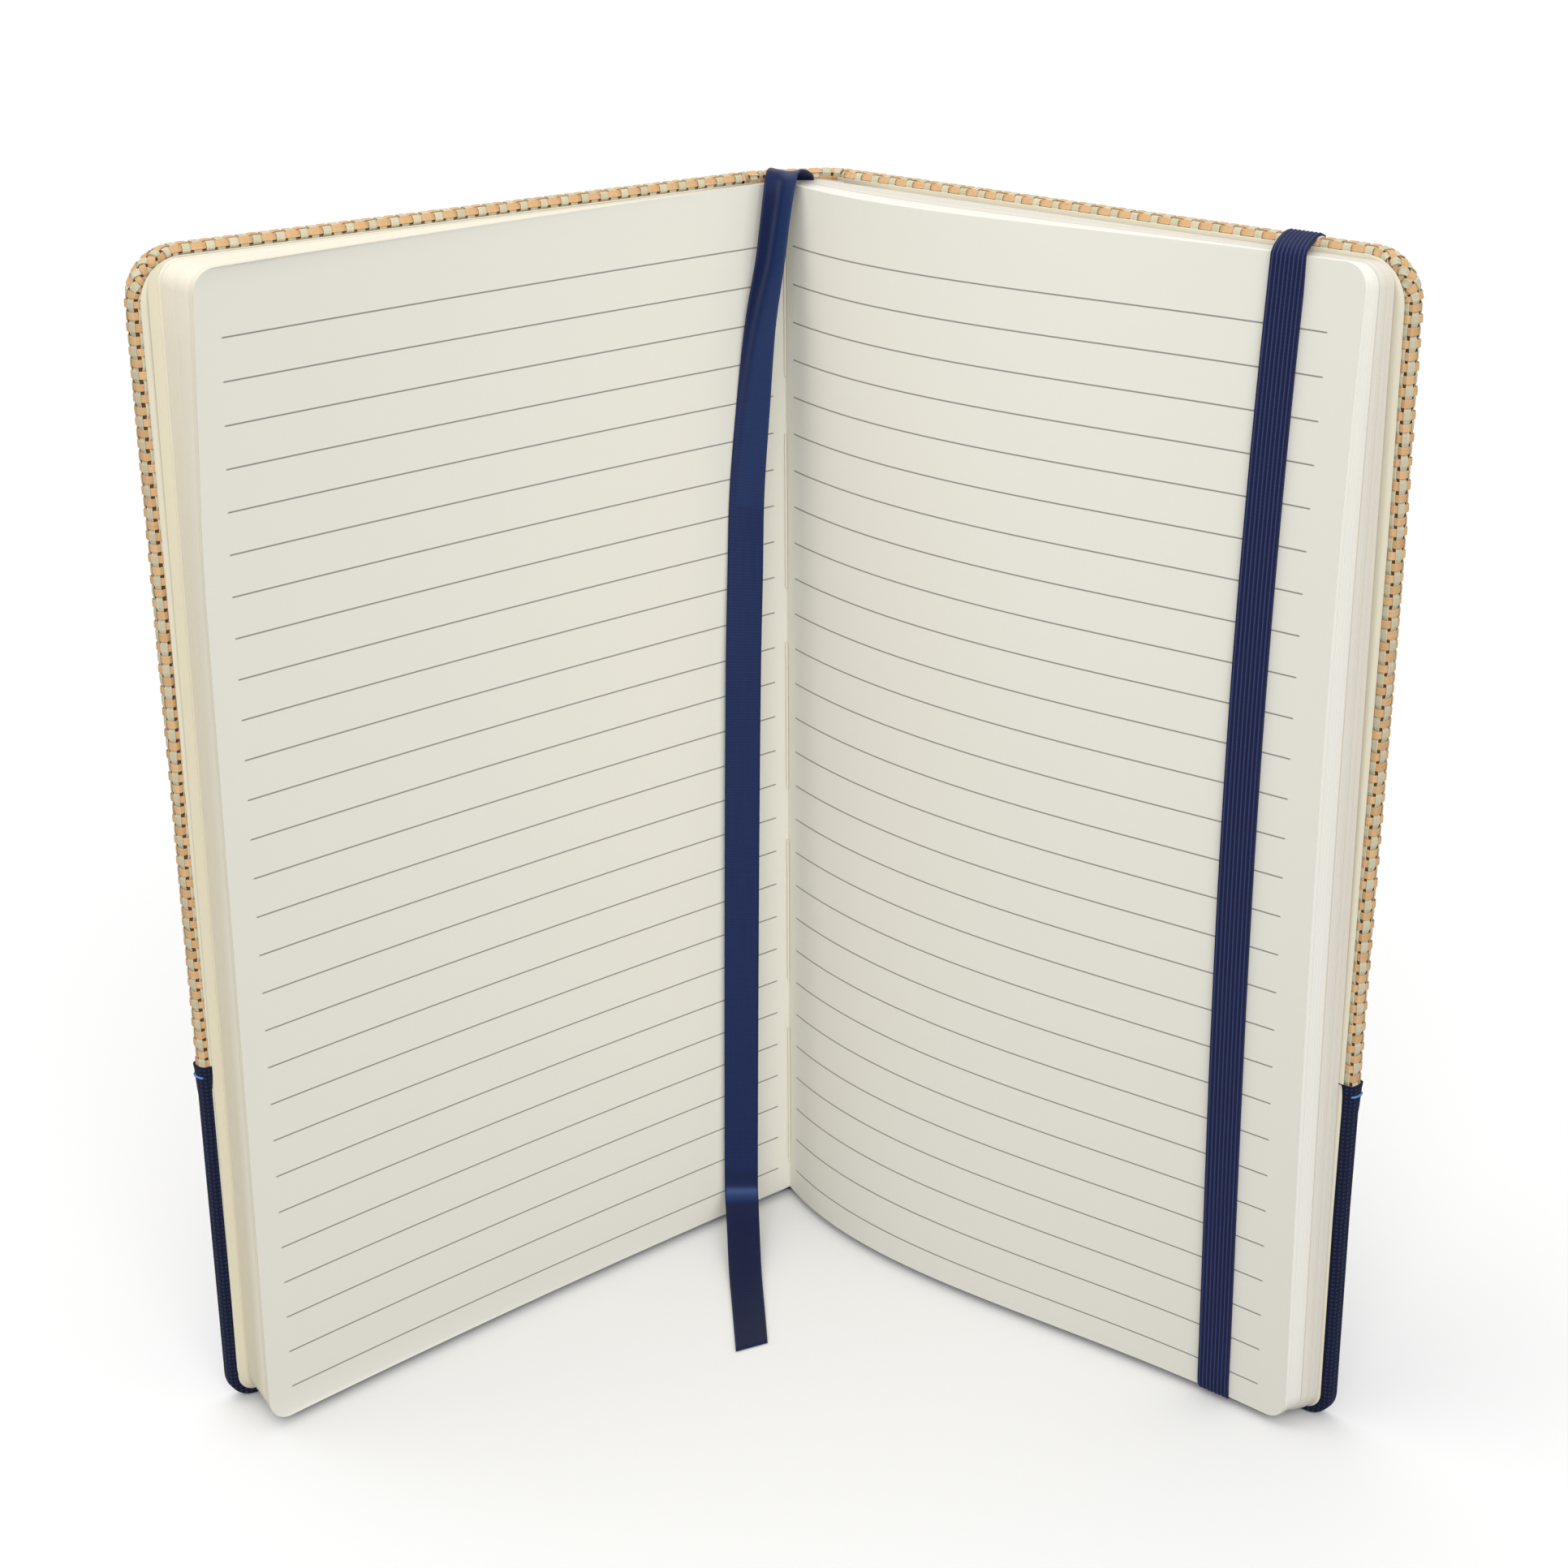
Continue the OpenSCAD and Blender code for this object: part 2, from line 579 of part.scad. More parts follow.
module ribbon_bookmark() {
    last = len(ribbon_route) - 1;
    rings = [for (i = [0 : last])
        let (a = ribbon_route[max(i - 1, 0)], b = ribbon_route[min(i + 1, last)],
             along = (b - a) / norm(b - a), t = ribbon_turn_at(i),
             level = [cos(t), sin(t), 0], c = cross(along, level), face = c / norm(c),
             wide = cross(face, along))
        [for (k = [[-1, -1], [1, -1], [1, 1], [-1, 1]])
            ribbon_route[i] + wide * k[0] * ribbon_w / 2 + face * k[1] * ribbon_t / 2]];
    color(ribbon_colour) polyhedron([for (r = rings) each r], skin_faces(len(rings), 4), convexity = 6);
}

front_board();
back_board();
spine_card();
front_straw_cloth();
back_straw_cloth();
front_canvas_band();
back_canvas_band();
front_band_stitches();
back_band_stitches();
front_endpaper();
front_flyleaf();
back_endpaper();
spine_lining();
page_block();
sewing_thread();
elastic_closure();
ribbon_bookmark();
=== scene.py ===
from math import cos, pi, radians, sin, sqrt

import bmesh
import bpy
import numpy as np
from mathutils import Matrix, Vector


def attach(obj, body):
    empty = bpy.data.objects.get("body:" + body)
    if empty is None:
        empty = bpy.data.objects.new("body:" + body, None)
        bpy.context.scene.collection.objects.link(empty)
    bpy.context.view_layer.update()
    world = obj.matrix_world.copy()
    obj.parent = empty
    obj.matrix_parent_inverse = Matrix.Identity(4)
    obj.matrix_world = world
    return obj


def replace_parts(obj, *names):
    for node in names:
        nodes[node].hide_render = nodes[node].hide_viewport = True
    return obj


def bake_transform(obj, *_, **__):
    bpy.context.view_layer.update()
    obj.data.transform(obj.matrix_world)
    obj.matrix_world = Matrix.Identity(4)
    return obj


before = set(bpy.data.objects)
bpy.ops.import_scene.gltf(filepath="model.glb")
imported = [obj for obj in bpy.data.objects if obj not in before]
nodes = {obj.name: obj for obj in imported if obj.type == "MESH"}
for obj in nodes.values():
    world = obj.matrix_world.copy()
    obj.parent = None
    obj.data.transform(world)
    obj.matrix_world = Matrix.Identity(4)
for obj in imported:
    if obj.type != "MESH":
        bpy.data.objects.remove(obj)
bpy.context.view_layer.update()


# Camera
# A short telephoto lens, a little above the head of the book and nearly level from side to side.
lens = bpy.data.cameras.new("camera")
lens.sensor_width = 36
lens.lens = 65.99
eye = bpy.data.objects.new("camera", lens)
bpy.context.scene.collection.objects.link(eye)
eye_place = Vector((-0.003035, -0.531455, 0.2885))
pitch, roll = radians(69.48), radians(-0.33)
eye.matrix_world = (Matrix.Translation(eye_place) @ Matrix.Rotation(pitch, 4, "X")
                    @ Matrix.Rotation(roll, 4, "Z"))
bpy.context.scene.camera = eye


# Ribbon bookmark
# A single-faced satin ribbon, glued under the spine's lining. It comes over the head, is creased
# along its length where it leaves the spine, and its cut end lies on the floor.
def linear(code):
    """Linear colour of an sRGB hex code."""
    parts = [int(code[i:i + 2], 16) / 255 for i in (1, 3, 5)]
    return [c / 12.92 if c <= 0.04045 else ((c + 0.055) / 1.055) ** 2.4 for c in parts] + [1.0]


def add(tree, kind, links=None, **settings):
    """A new shader node with these settings, and with each input linked to a socket or set to a value."""
    made = tree.nodes.new("ShaderNode" + kind)
    for name, value in settings.items():
        setattr(made, name, value)
    for name, value in (links or {}).items():
        if isinstance(value, bpy.types.NodeSocket):
            tree.links.new(value, made.inputs[name])
        else:
            made.inputs[name].default_value = value
    return made


def start_material(name, roughness):
    """A new material, its node tree and its main shader."""
    made = bpy.data.materials.new(name)
    made.use_nodes = True
    shader = made.node_tree.nodes["Principled BSDF"]
    shader.inputs["Roughness"].default_value = roughness
    return made, made.node_tree, shader


def put(name, points, faces, finishes, body=None, flat=None, shade=None, chosen=None, smooth=True):
    """A mesh of points in mm. flat is each point's place on the flat piece in mm, shade a number
    for each point, and chosen the number of each face's finish."""
    data = bpy.data.meshes.new(name)
    metres = (np.asarray(points, float) * 0.001).tolist()
    data.from_pydata(metres, [], [list(map(int, f)) for f in faces])
    for finish in finishes:
        data.materials.append(finish)
    if chosen is not None:
        data.polygons.foreach_set("material_index", np.asarray(chosen, np.int32))
    if flat is not None:
        corner = np.empty(len(data.loops), np.int32)
        data.loops.foreach_get("vertex_index", corner)
        layer = data.uv_layers.new(name="flat")
        layer.data.foreach_set("uv", np.asarray(flat, np.float32)[corner].ravel())
    if shade is not None:
        layer = data.attributes.new("shade", "FLOAT", "POINT")
        layer.data.foreach_set("value", np.asarray(shade, np.float32))
    tool = bmesh.new()
    tool.from_mesh(data)
    bmesh.ops.recalc_face_normals(tool, faces=tool.faces)
    tool.to_mesh(data)
    tool.free()
    data.polygons.foreach_set("use_smooth", np.full(len(data.polygons), smooth))
    made = bpy.data.objects.new(name, data)
    bpy.context.scene.collection.objects.link(made)
    if body:
        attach(made, body)
    return made


def tube_faces(rings, around, start=0):
    """Faces of a closed tube through rings of points."""
    i, j = np.meshgrid(np.arange(rings - 1), np.arange(around), indexing="ij")
    a, b = i * around + j, i * around + (j + 1) % around
    sides = (np.stack([a, b, b + around, a + around], -1).reshape(-1, 4) + start).tolist()
    last = start + (rings - 1) * around
    return sides + [list(range(start + around - 1, start - 1, -1)), list(range(last, last + around))]


def unit(v):
    """Each vector of v at a length of one."""
    return v / np.maximum(np.linalg.norm(v, axis=-1, keepdims=True), 1e-9)


def smooth_path(points, step, like=None):
    """Points about every step mm along a smooth curve through the given ones, and each one's place
    among them. like is the path whose lengths set the number of points."""
    points = np.asarray(points, float)
    like = points if like is None else np.asarray(like, float)
    ends = np.vstack([2 * points[0] - points[1], points, 2 * points[-1] - points[-2]])
    out, at = [], []
    for i in range(len(points) - 1):
        a, b, c, d = ends[i:i + 4]
        many = max(2, int(np.linalg.norm(like[i + 1] - like[i]) / step))
        for t in np.arange(many) / many:
            out.append(0.5 * (2 * b + (c - a) * t + (2 * a - 5 * b + 4 * c - d) * t ** 2
                              + (3 * b - a - 3 * c + d) * t ** 3))
            at.append(i + t)
    return np.array(out + [points[-1]]), np.array(at + [len(points) - 1])


def wave_scale(threads):
    """Scale of a wave texture that draws this many threads to a mm of coordinates in mm."""
    return threads * pi / 10


# Polyester satin, woven with long floats: faint streaks along it, and a soft shine. Its weft is too
# fine to show, so it is drawn coarser, 1.75 threads to the mm
navy_satin, tree, shader = start_material("navy satin", 0.4)
place = add(tree, "UVMap", uv_map="flat").outputs[0]
weft = add(tree, "TexWave", {"Vector": place, "Scale": wave_scale(1.75), "Distortion": 0.6},
           bands_direction="Y")
streaked = add(tree, "Mapping", {"Vector": place, "Scale": (3.0, 0.08, 1.0)})
tint = add(tree, "TexNoise", {"Vector": streaked.outputs[0], "Scale": 1.0, "Detail": 3.0})
ramp = add(tree, "MixRGB", {"Fac": tint.outputs[0], "Color1": linear("#131F41"),
                            "Color2": linear("#172751")})
# The shade attribute carries painted light: from 0 to 0.4 it mixes in a dark navy painted shade, and from
# 0.4 to 1 a light blue painted sheen
own = add(tree, "Attribute", attribute_name="shade").outputs[2]
shaded_share = add(tree, "MapRange", {"Value": own, 1: 0.0, 2: 0.4, 3: 0.0, 4: 1.0})
pale = add(tree, "MapRange", {"Value": own, 1: 0.4, 2: 1.0, 3: 0.0, 4: 1.0})
tint = add(tree, "MixRGB", {"Fac": shaded_share.outputs[0], "Color1": linear("#141A38"), "Color2": ramp.outputs[0]})
sheen_tint = add(tree, "MixRGB", {"Fac": pale.outputs[0], "Color1": tint.outputs[0],
                                 "Color2": linear("#35548C")})
tree.links.new(sheen_tint.outputs[0], shader.inputs["Base Color"])
relief = add(tree, "Bump", {"Height": weft.outputs[1], "Distance": 0.00002, "Strength": 0.5})
tree.links.new(relief.outputs[0], shader.inputs["Normal"])
shader.inputs["Anisotropic"].default_value = 0.4
shader.inputs["Sheen Weight"].default_value = 0.02
shader.inputs["Specular IOR Level"].default_value = 0.16

ribbon_w, ribbon_end_w, ribbon_t, end_slant = 6.7, 6.1, 0.24, 2.7
# Middle of the ribbon's width, from the spine's head to the cut end
ribbon_line = np.array(
    [[-0.2, -0.9, 206.2], [-0.3, -1.5, 208], [-0.8, -3, 209.4], [-1.7, -5, 210.1], [-2.6, -7.2, 209.6],
     [-3.2, -8.4, 207], [-4, -9, 201.5], [-5, -9.8, 194], [-6.8, -10.8, 183], [-8.3, -12, 168],
     [-9.6, -13, 152], [-10.1, -13.5, 136], [-10.6, -14, 118], [-11.1, -14.5, 90], [-11.6, -14.9, 55],
     [-12, -15.3, 22], [-12.1, -15.6, 11], [-12.1, -16, 7.9], [-12, -17.8, 6.3], [-11.7, -24, 3.6],
     [-11.2, -36, 0.9], [-10.4, -50, 0.25], [-9.7, -62.8, 0.25]])
# Degrees that each of those places is turned about the ribbon's length
ribbon_turn = [11, 5, -20, -30, -15, -8, -6, -4, -2] + [0] * 14
# The crease: its place across the width (0 is the left edge), and how many degrees each side is bent up
crease_place = [.5, .5, .5, .5, .5, .5, .48, .44, .3, .12, 0.04] + [0] * 12
crease_bend = [2, 3, 4, 10, 28, 40, 44, 44, 38, 26, 16, 6] + [0] * 11
middle, at = smooth_path(ribbon_line, 1.0)
count, across = len(middle), 17
turn, where, bend = (np.interp(at, range(len(v)), v) for v in (ribbon_turn, crease_place, crease_bend))
along = unit(np.gradient(middle, axis=0))
level = np.stack([np.cos(np.radians(turn)), np.sin(np.radians(turn)), 0 * turn], -1)
face = unit(np.cross(along, level))
wide = np.cross(face, along)
share = np.linspace(0, 1, across)
tilt = np.radians(bend)[:, None] * np.tanh((share[None, :] - where[:, None]) * 9)
breadth = np.interp(at, [len(ribbon_line) - 5, len(ribbon_line) - 1], [ribbon_w, ribbon_end_w])[:, None]
dx, dy = np.cos(tilt) * breadth / (across - 1), np.sin(tilt) * breadth / (across - 1)
cx, cy = np.cumsum(dx, 1), np.cumsum(dy, 1)
cx, cy = cx - cx.mean(1, keepdims=True), cy - cy.mean(1, keepdims=True)
front_side = middle[:, None] + wide[:, None] * cx[..., None] + face[:, None] * cy[..., None]
lean = unit(face[:, None] * np.cos(tilt)[..., None] - wide[:, None] * np.sin(tilt)[..., None])
cut = np.clip((at - (len(ribbon_line) - 2)), 0, 1)[:, None] * (share[None, :] - 0.5) * -end_slant
front_side = front_side + along[:, None] * cut[..., None]
half_t = ribbon_t / 2
rings = np.concatenate([front_side + lean * half_t, (front_side - lean * half_t)[:, ::-1]], 1)
run = np.concatenate([[0], np.cumsum(np.linalg.norm(np.diff(middle, axis=0), axis=1))])
both_faces = np.concatenate([share, share[::-1]])[None, :] * ribbon_w
spot = np.stack(np.broadcast_arrays(both_faces, run[:, None]), -1)
# Painted light on the satin: a painted sheen along the sharp crease above the floor, painted shade just
# above that and on the floor, and near the head a painted highlight on the side turned to the light and
# painted shade in the lengthwise crease
height = middle[:, 2:]
crease_z, dip_z, floor_y, head_part = 7.6, 10.6, -17.9, height > 150
painted_sheen_and_shade = (0.4 + 0.3 * np.exp(-((height - crease_z) / 0.7) ** 2)
        - 0.3 * (middle[:, 1:2] < floor_y) - 0.25 * np.exp(-((height - dip_z) / 1.6) ** 2)
        + np.where(head_part, 0.16 * np.sin(tilt), 0)
        - np.where(head_part, 0.1, 0) * np.exp(-((share[None, :] - where[:, None]) / 0.12) ** 2))
painted_sheen_and_shade = np.concatenate([painted_sheen_and_shade, painted_sheen_and_shade[:, ::-1]], 1)
ribbon = put("ribbon", rings.reshape(-1, 3), tube_faces(count, 2 * across), [navy_satin],
             "back_cover_and_leaves", flat=spot.reshape(-1, 2), shade=painted_sheen_and_shade.ravel())
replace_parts(ribbon, "ribbon_bookmark")


# Straw cloth
# Plain weave of flat paper straw: tan strips run level, grey-beige ones upright, over a brown
# backing cloth. It is glued over the boards, round their edges, and turned in under the endpapers.
spine_tilt, front_tilt, back_tilt = radians(11.5), radians(38.2), radians(45.2)
half_gap, spine_out = 7.8, 0.75
cover_w, head_z, head_corner = 126, 209.6, 8.5
# Cloth wrapped over the foot lies this much higher, clear of the floor
foot_lift = 0.1


def spine_at(s, t):
    """Plan point on the spine, s mm across from its middle and t mm in from its outer face."""
    r = spine_out - t
    return np.stack([s * cos(spine_tilt) - r * sin(spine_tilt),
                     s * sin(spine_tilt) + r * cos(spine_tilt)], -1)


front_joint, back_joint = spine_at(-half_gap, 0), spine_at(half_gap, 0)


def front_at(u, w):
    """Plan point on the front cover, u mm out from its joint and w mm in from its outer face."""
    return np.stack([front_joint[0] - u * cos(front_tilt) + w * sin(front_tilt),
                     front_joint[1] - u * sin(front_tilt) - w * cos(front_tilt)], -1)


def back_at(u, w):
    """The same on the back cover."""
    return np.stack([back_joint[0] + u * cos(back_tilt) - w * sin(back_tilt),
                     back_joint[1] - u * sin(back_tilt) - w * cos(back_tilt)], -1)


def case_plan(q):
    """Plan point and inward direction of the case's outer face, q mm from the front joint
    towards the back cover, with both joints rounded and pressed in as grooves."""
    q = np.asarray(q, float)
    soft, groove_reach, groove_deep = 1.2, 3.2, 0.9
    u = np.where(q < half_gap, -q, q - 2 * half_gap)
    on_front, on_back = front_at(-q, 0 * q), back_at(q - 2 * half_gap, 0 * q)
    on_spine = spine_at(q - half_gap, 0 * q)
    inward = [np.array([sin(front_tilt), -cos(front_tilt)]),
              np.array([sin(spine_tilt), -cos(spine_tilt)]),
              np.array([-sin(back_tilt), -cos(back_tilt)])]
    t = np.clip((soft - u) / (2 * soft), 0, 1)[..., None]
    first = (q < half_gap)[..., None]
    corner = np.where(first, front_joint, back_joint)
    cover_end = np.where(first, front_at(soft, 0), back_at(soft, 0))
    spine_near = np.where(first, spine_at(soft - half_gap, 0), spine_at(half_gap - soft, 0))
    bent = (1 - t) ** 2 * cover_end + 2 * t * (1 - t) * corner + t ** 2 * spine_near
    flat = np.where((u > 0)[..., None], np.where(first, on_front, on_back), on_spine)
    point = np.where((np.abs(u) < soft)[..., None], bent, flat)
    turned = np.where(first, inward[0], inward[2]) * (1 - t) + inward[1] * t
    groove = groove_deep * np.cos(np.clip(u / groove_reach, -1, 1) * pi / 2) ** 2
    return point + unit(turned) * groove[..., None], unit(turned)


def spread(u, z, front):
    """Distance from the joint on the real covers, which are cut a little out of square."""
    wider = np.where(front, 0.008 * (z - 150), np.clip(0.0125 * (z - 90), -0.6, 0.95))
    return u + wider * np.clip(u / cover_w, 0, 1.1)


def cloth(q, z, lift, foot=None):
    """Place of cloth laid flat at q and z, after it is wrapped over the rim of the case. foot is the
    radius of the corner at the foot, for cloth wrapped over that end, and None is for the head."""
    q, z, lift = np.broadcast_arrays(np.asarray(q, float), np.asarray(z, float), np.asarray(lift, float))
    if foot:
        z = head_z - z
    turn = foot or head_corner
    out = q - half_gap
    u = np.abs(out) - half_gap
    # The case is thinner near the joint, where it has no board. deep is the most that is turned in
    thick, deep, rim_bend = 3.1, 8.0, 0.9
    thin = np.clip((4.4 - u) / 2.4, 0, 1)
    thin = thin * thin * (3 - 2 * thin)
    edge = thick / 2 - (thick / 2 - 0.8) * thin
    # Over the rim the cloth turns on a small radius, runs level, and turns again
    bend = np.minimum(edge, rim_bend)
    level = 2 * (edge - bend)
    inner = turn - bend
    du, dz = np.maximum(u - cover_w + turn, 0), np.maximum(z - head_z + turn, 0)
    reach = np.maximum(np.hypot(du, dz), 1e-9)
    d = np.clip(reach - inner, 0, deep)
    wall = np.clip(d - bend * pi / 2, 0, level)
    theta = np.clip(d / bend, 0, pi / 2) + np.clip((d - level) / bend - pi / 2, 0, pi / 2)
    past = np.maximum(d - pi * bend - level, 0)
    held = np.minimum(reach, inner) + bend * np.sin(theta) - past
    nu, nz = du / reach, dz / reach
    # Under the endpaper the cloth is pressed flat
    lift = lift - 0.3 * np.clip((past - 0.5) / 0.5, 0, 1)
    u2 = np.minimum(u, cover_w - turn) + nu * (held + np.sin(theta) * lift)
    z2 = np.minimum(z, head_z - turn) + nz * (held + np.sin(theta) * lift)
    w2 = bend * (1 - np.cos(theta)) + wall - np.cos(theta) * lift
    if foot:
        z2 = head_z + foot_lift - z2
    u2 = spread(u2, z2, out < 0)
    point, inward = case_plan(half_gap + np.where(out < 0, -1, 1) * (u2 + half_gap))
    return np.concatenate([point + inward * w2[..., None], z2[..., None]], -1)


def straw(name, warm, cool, streak):
    """Matt paper straw with fine streaks along each strip and a tone of its own."""
    made, tree, shader = start_material(name, 0.7)
    shader.inputs["Specular IOR Level"].default_value = 0.25
    place = add(tree, "UVMap", uv_map="flat").outputs[0]
    own = add(tree, "Attribute", attribute_name="shade").outputs[2]
    # Streaks of about 3 mm by 0.14 mm
    streaked = add(tree, "Mapping", {"Vector": place, "Scale": (0.35, 7.0, 1.0)})
    lines = add(tree, "TexNoise", {"Vector": streaked.outputs[0], "Scale": 1.0, "Detail": 3.0})
    tone = add(tree, "MixRGB", {"Fac": own, "Color1": linear(warm), "Color2": linear(cool)})
    strength = add(tree, "MapRange", {"Value": lines.outputs[0], 1: 0.45, 2: 0.75, 3: 0.0, 4: 0.45})
    mixed = add(tree, "MixRGB", {"Fac": strength.outputs[0], "Color1": tone.outputs[0],
                                 "Color2": linear(streak)})
    tree.links.new(mixed.outputs[0], shader.inputs["Base Color"])
    relief = add(tree, "Bump", {"Height": lines.outputs[0], "Distance": 0.00004, "Strength": 0.5})
    tree.links.new(relief.outputs[0], shader.inputs["Normal"])
    return made


tan_straw = straw("tan paper straw", "#D8B387", "#CAA172", "#B28554")
grey_straw = straw("grey-beige paper straw", "#CFC8B0", "#C0B99C", "#9F977A")
# Dark brown cloth, which shows as dark specks between the strips
brown_backing, tree, shader = start_material("brown backing cloth", 0.95)
shader.inputs["Base Color"].default_value = linear("#5A3A20")

level_pitch, upright_pitch, level_w, upright_w = 1.9, 2.1, 1.32, 1.44
level_from, level_count, upright_from, hem_top = 64.3, 82, 0.6, 68.5
# The centres of the head corners, off the spine's middle and above the foot, and the reach of the
# cloth from there to its turned-in edge
arc_q, arc_z, rim = 125.3, 201.1, 13.9
uneven = 0.05
chance = np.random.default_rng(7)
upright_at = np.arange(-68, 76) * upright_pitch + upright_from
upright_move = chance.normal(0, uneven, len(upright_at))
level_at = level_from + np.arange(level_count) * level_pitch
level_move = chance.normal(0, uneven, len(level_at))
upright_tone, level_tone = chance.random(len(upright_at)), chance.random(len(level_at))


def spaced(low, high, pitch, first, fine):
    """Places along a strip: two to a crossing, and four where fine says that it is bent."""
    at = []
    for k in range(int((low - first) / pitch) - 1, int((high - first) / pitch) + 2):
        mid = first + k * pitch
        steps = (-0.32, -0.12, 0.12, 0.32) if fine(mid) else (-0.3, 0.3)
        at += [(mid + s * pitch, k) for s in steps if low <= mid + s * pitch <= high]
    return np.array([a[0] for a in at]), np.array([a[1] for a in at])


def bent_across(q):
    """Whether cloth at q is bent, over the fore-edge or in a joint."""
    out = abs(q - half_gap)
    return out > arc_q - 2.3 or abs(out - half_gap) < 3


def wander(q, z):
    """Place of an upright at q, which leans a little from side to side over the height. Those near the
    front cover's fore-edge lie a little further out."""
    return q + 0.35 * np.sin(z / 14 + 1) - 0.65 * np.clip((-q - 60) / 40, 0, 1)


def strips(name, straight, finish, low, high, body):
    """All level strips, or all upright ones, of one part of the cloth, from low to high along q."""
    points, faces, flat, shade = [], [], [], []
    for k in range(len(level_at) if straight else len(upright_at)):
        if straight:
            z = level_at[k] + level_move[k]
            dz = max(z - arc_z, 0)
            if dz >= rim:
                continue
            end = arc_q + sqrt(rim * rim - dz * dz)
            a, b = max(low, half_gap - end), min(high, half_gap + end)
            place, which = spaced(a, b, upright_pitch, upright_at[0], bent_across)
            wide, tone = level_w, level_tone[k]
        else:
            q = upright_at[k] + upright_move[k]
            du = max(abs(q - half_gap) - arc_q, 0)
            if not low <= q < high or du >= rim:
                continue
            end = arc_z + sqrt(rim * rim - du * du)
            place, which = spaced(hem_top - 4.5, end, level_pitch, level_at[0], lambda z: z > head_z - 3.6)
            wide, tone = upright_w, upright_tone[k]
        if len(place) < 2:
            continue
        # Each strip goes over one of the others and under the next
        over = np.where((which + k) % 2 == 0, 1, -1) * (1 if straight else -1)
        height = -0.08 + 0.13 * over + chance.normal(0, 0.01, len(place))
        wide = wide * (1 + chance.normal(0, 0.04)) / 2
        side = np.array([-0.97, -1, -0.86, 0.86, 1, 0.97]) * wide
        lift = height[:, None] + np.array([-0.1, 0.02, 0.08, 0.08, 0.02, -0.1])
        if straight:
            rings = cloth(wander(place[:, None], z), z + side, lift)
        else:
            rings = cloth(wander(q + side, place[:, None]), place[:, None], lift)
        faces += tube_faces(len(place), 6, sum(map(len, points)))
        points.append(rings.reshape(-1, 3))
        # Each strip takes its streaks from another part of the pattern
        spot = np.broadcast_arrays(place[:, None] + 37 * k, side + 11 * k)
        flat.append(np.stack(spot, -1).reshape(-1, 2))
        shade.append(np.full(6 * len(place), tone))
    made = put(name, np.vstack(points), faces, [finish], body, flat=np.vstack(flat),
               shade=np.concatenate(shade), smooth=False)
    return made


def sheet_between(outer, inner):
    """Points and faces of a closed sheet between two grids of points."""
    rows, columns = outer.shape[:2]
    i, j = np.meshgrid(np.arange(rows - 1), np.arange(columns - 1), indexing="ij")
    a = i * columns + j
    one = np.stack([a, a + 1, a + columns + 1, a + columns], -1).reshape(-1, 4)
    total = rows * columns
    ring = np.concatenate([np.arange(columns), np.arange(1, rows) * columns + columns - 1,
                           (rows - 1) * columns + np.arange(columns - 2, -1, -1),
                           np.arange(rows - 2, 0, -1) * columns])
    nxt = np.roll(ring, -1)
    wall = np.stack([ring, nxt, nxt + total, ring + total], -1)
    return np.vstack([outer.reshape(-1, 3), inner.reshape(-1, 3)]), np.vstack([one, one + total, wall])


def across_case(low, high, rim_from, reach, step):
    """Places across the case from low to high, close together in both joints and round the rims."""
    joint, rim_steps = np.arange(-3.2, 3.3, 0.4), np.arange(0, reach, step)
    q = np.concatenate([[low, high], joint, 2 * half_gap + joint, np.linspace(3.2, 12.4, 4),
                        np.linspace(-117, -3.2, 12), np.linspace(18.8, 133, 12),
                        half_gap - rim_from - rim_steps, half_gap + rim_from + rim_steps])
    q = np.unique(np.round(q, 4))
    return q[(q >= low) & (q <= high)]


def backing(name, low, high, body):
    """The brown cloth behind the strips, a thin closed sheet."""
    q = across_case(low, high, arc_q, 15, 0.6)
    z = np.concatenate([[hem_top - 5], np.linspace(72, arc_z, 12), arc_z + np.arange(0.6, 15, 0.6)])
    outer = cloth(q[None, :], z[:, None], -0.34)
    inner = cloth(q[None, :], z[:, None], -0.6)
    made = put(name, *sheet_between(outer, inner), [brown_backing], body)
    return made


front_cloth = strips("front_level_straw", True, tan_straw, -140, -3.0, "front_cover")
strips("front_upright_straw", False, grey_straw, -140, -3.2, "front_cover")
backing("front_cloth_backing", -141, -3.0, "front_cover")
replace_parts(front_cloth, "front_straw_cloth")
back_cloth = strips("back_level_straw", True, tan_straw, 3.0, 160, "back_cover_and_leaves")
strips("back_upright_straw", False, grey_straw, 3.2, 160, "back_cover_and_leaves")
backing("back_cloth_backing", 3.0, 160, "back_cover_and_leaves")
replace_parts(back_cloth, "back_straw_cloth")
for part in (strips("joint_level_straw", True, tan_straw, -3.4, 3.4, None),
             strips("joint_upright_straw", False, grey_straw, -3.2, 3.2, None),
             backing("joint_cloth_backing", -3.2, 3.2, None)):
    tuple(cloth(3.2, 100, 0) / 1000)
    tuple(cloth(-3.2, 100, 0) / 1000)
    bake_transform(part)


# Canvas band
# Ribbed cotton canvas, glued round the foot of the case, with its top edge folded over the straw
# cloth as a hem.

# Dyed cotton, in plain weave: matt, with the thread crowns painted lighter as a highlight and the gaps
# painted darker as shade, 1.273 threads to the mm
navy_canvas, tree, shader = start_material("navy canvas", 0.9)
where = add(tree, "TexCoord").outputs[3]
threads = {"Vector": where, "Scale": 1000 * wave_scale(1.273), "Distortion": 1.0, "Detail": 1.0}
ribs = add(tree, "TexWave", threads, bands_direction="Z")
cross = add(tree, "TexWave", threads, bands_direction="X")
both = add(tree, "Math", {0: ribs.outputs[1], 1: cross.outputs[1]}, operation="MULTIPLY")
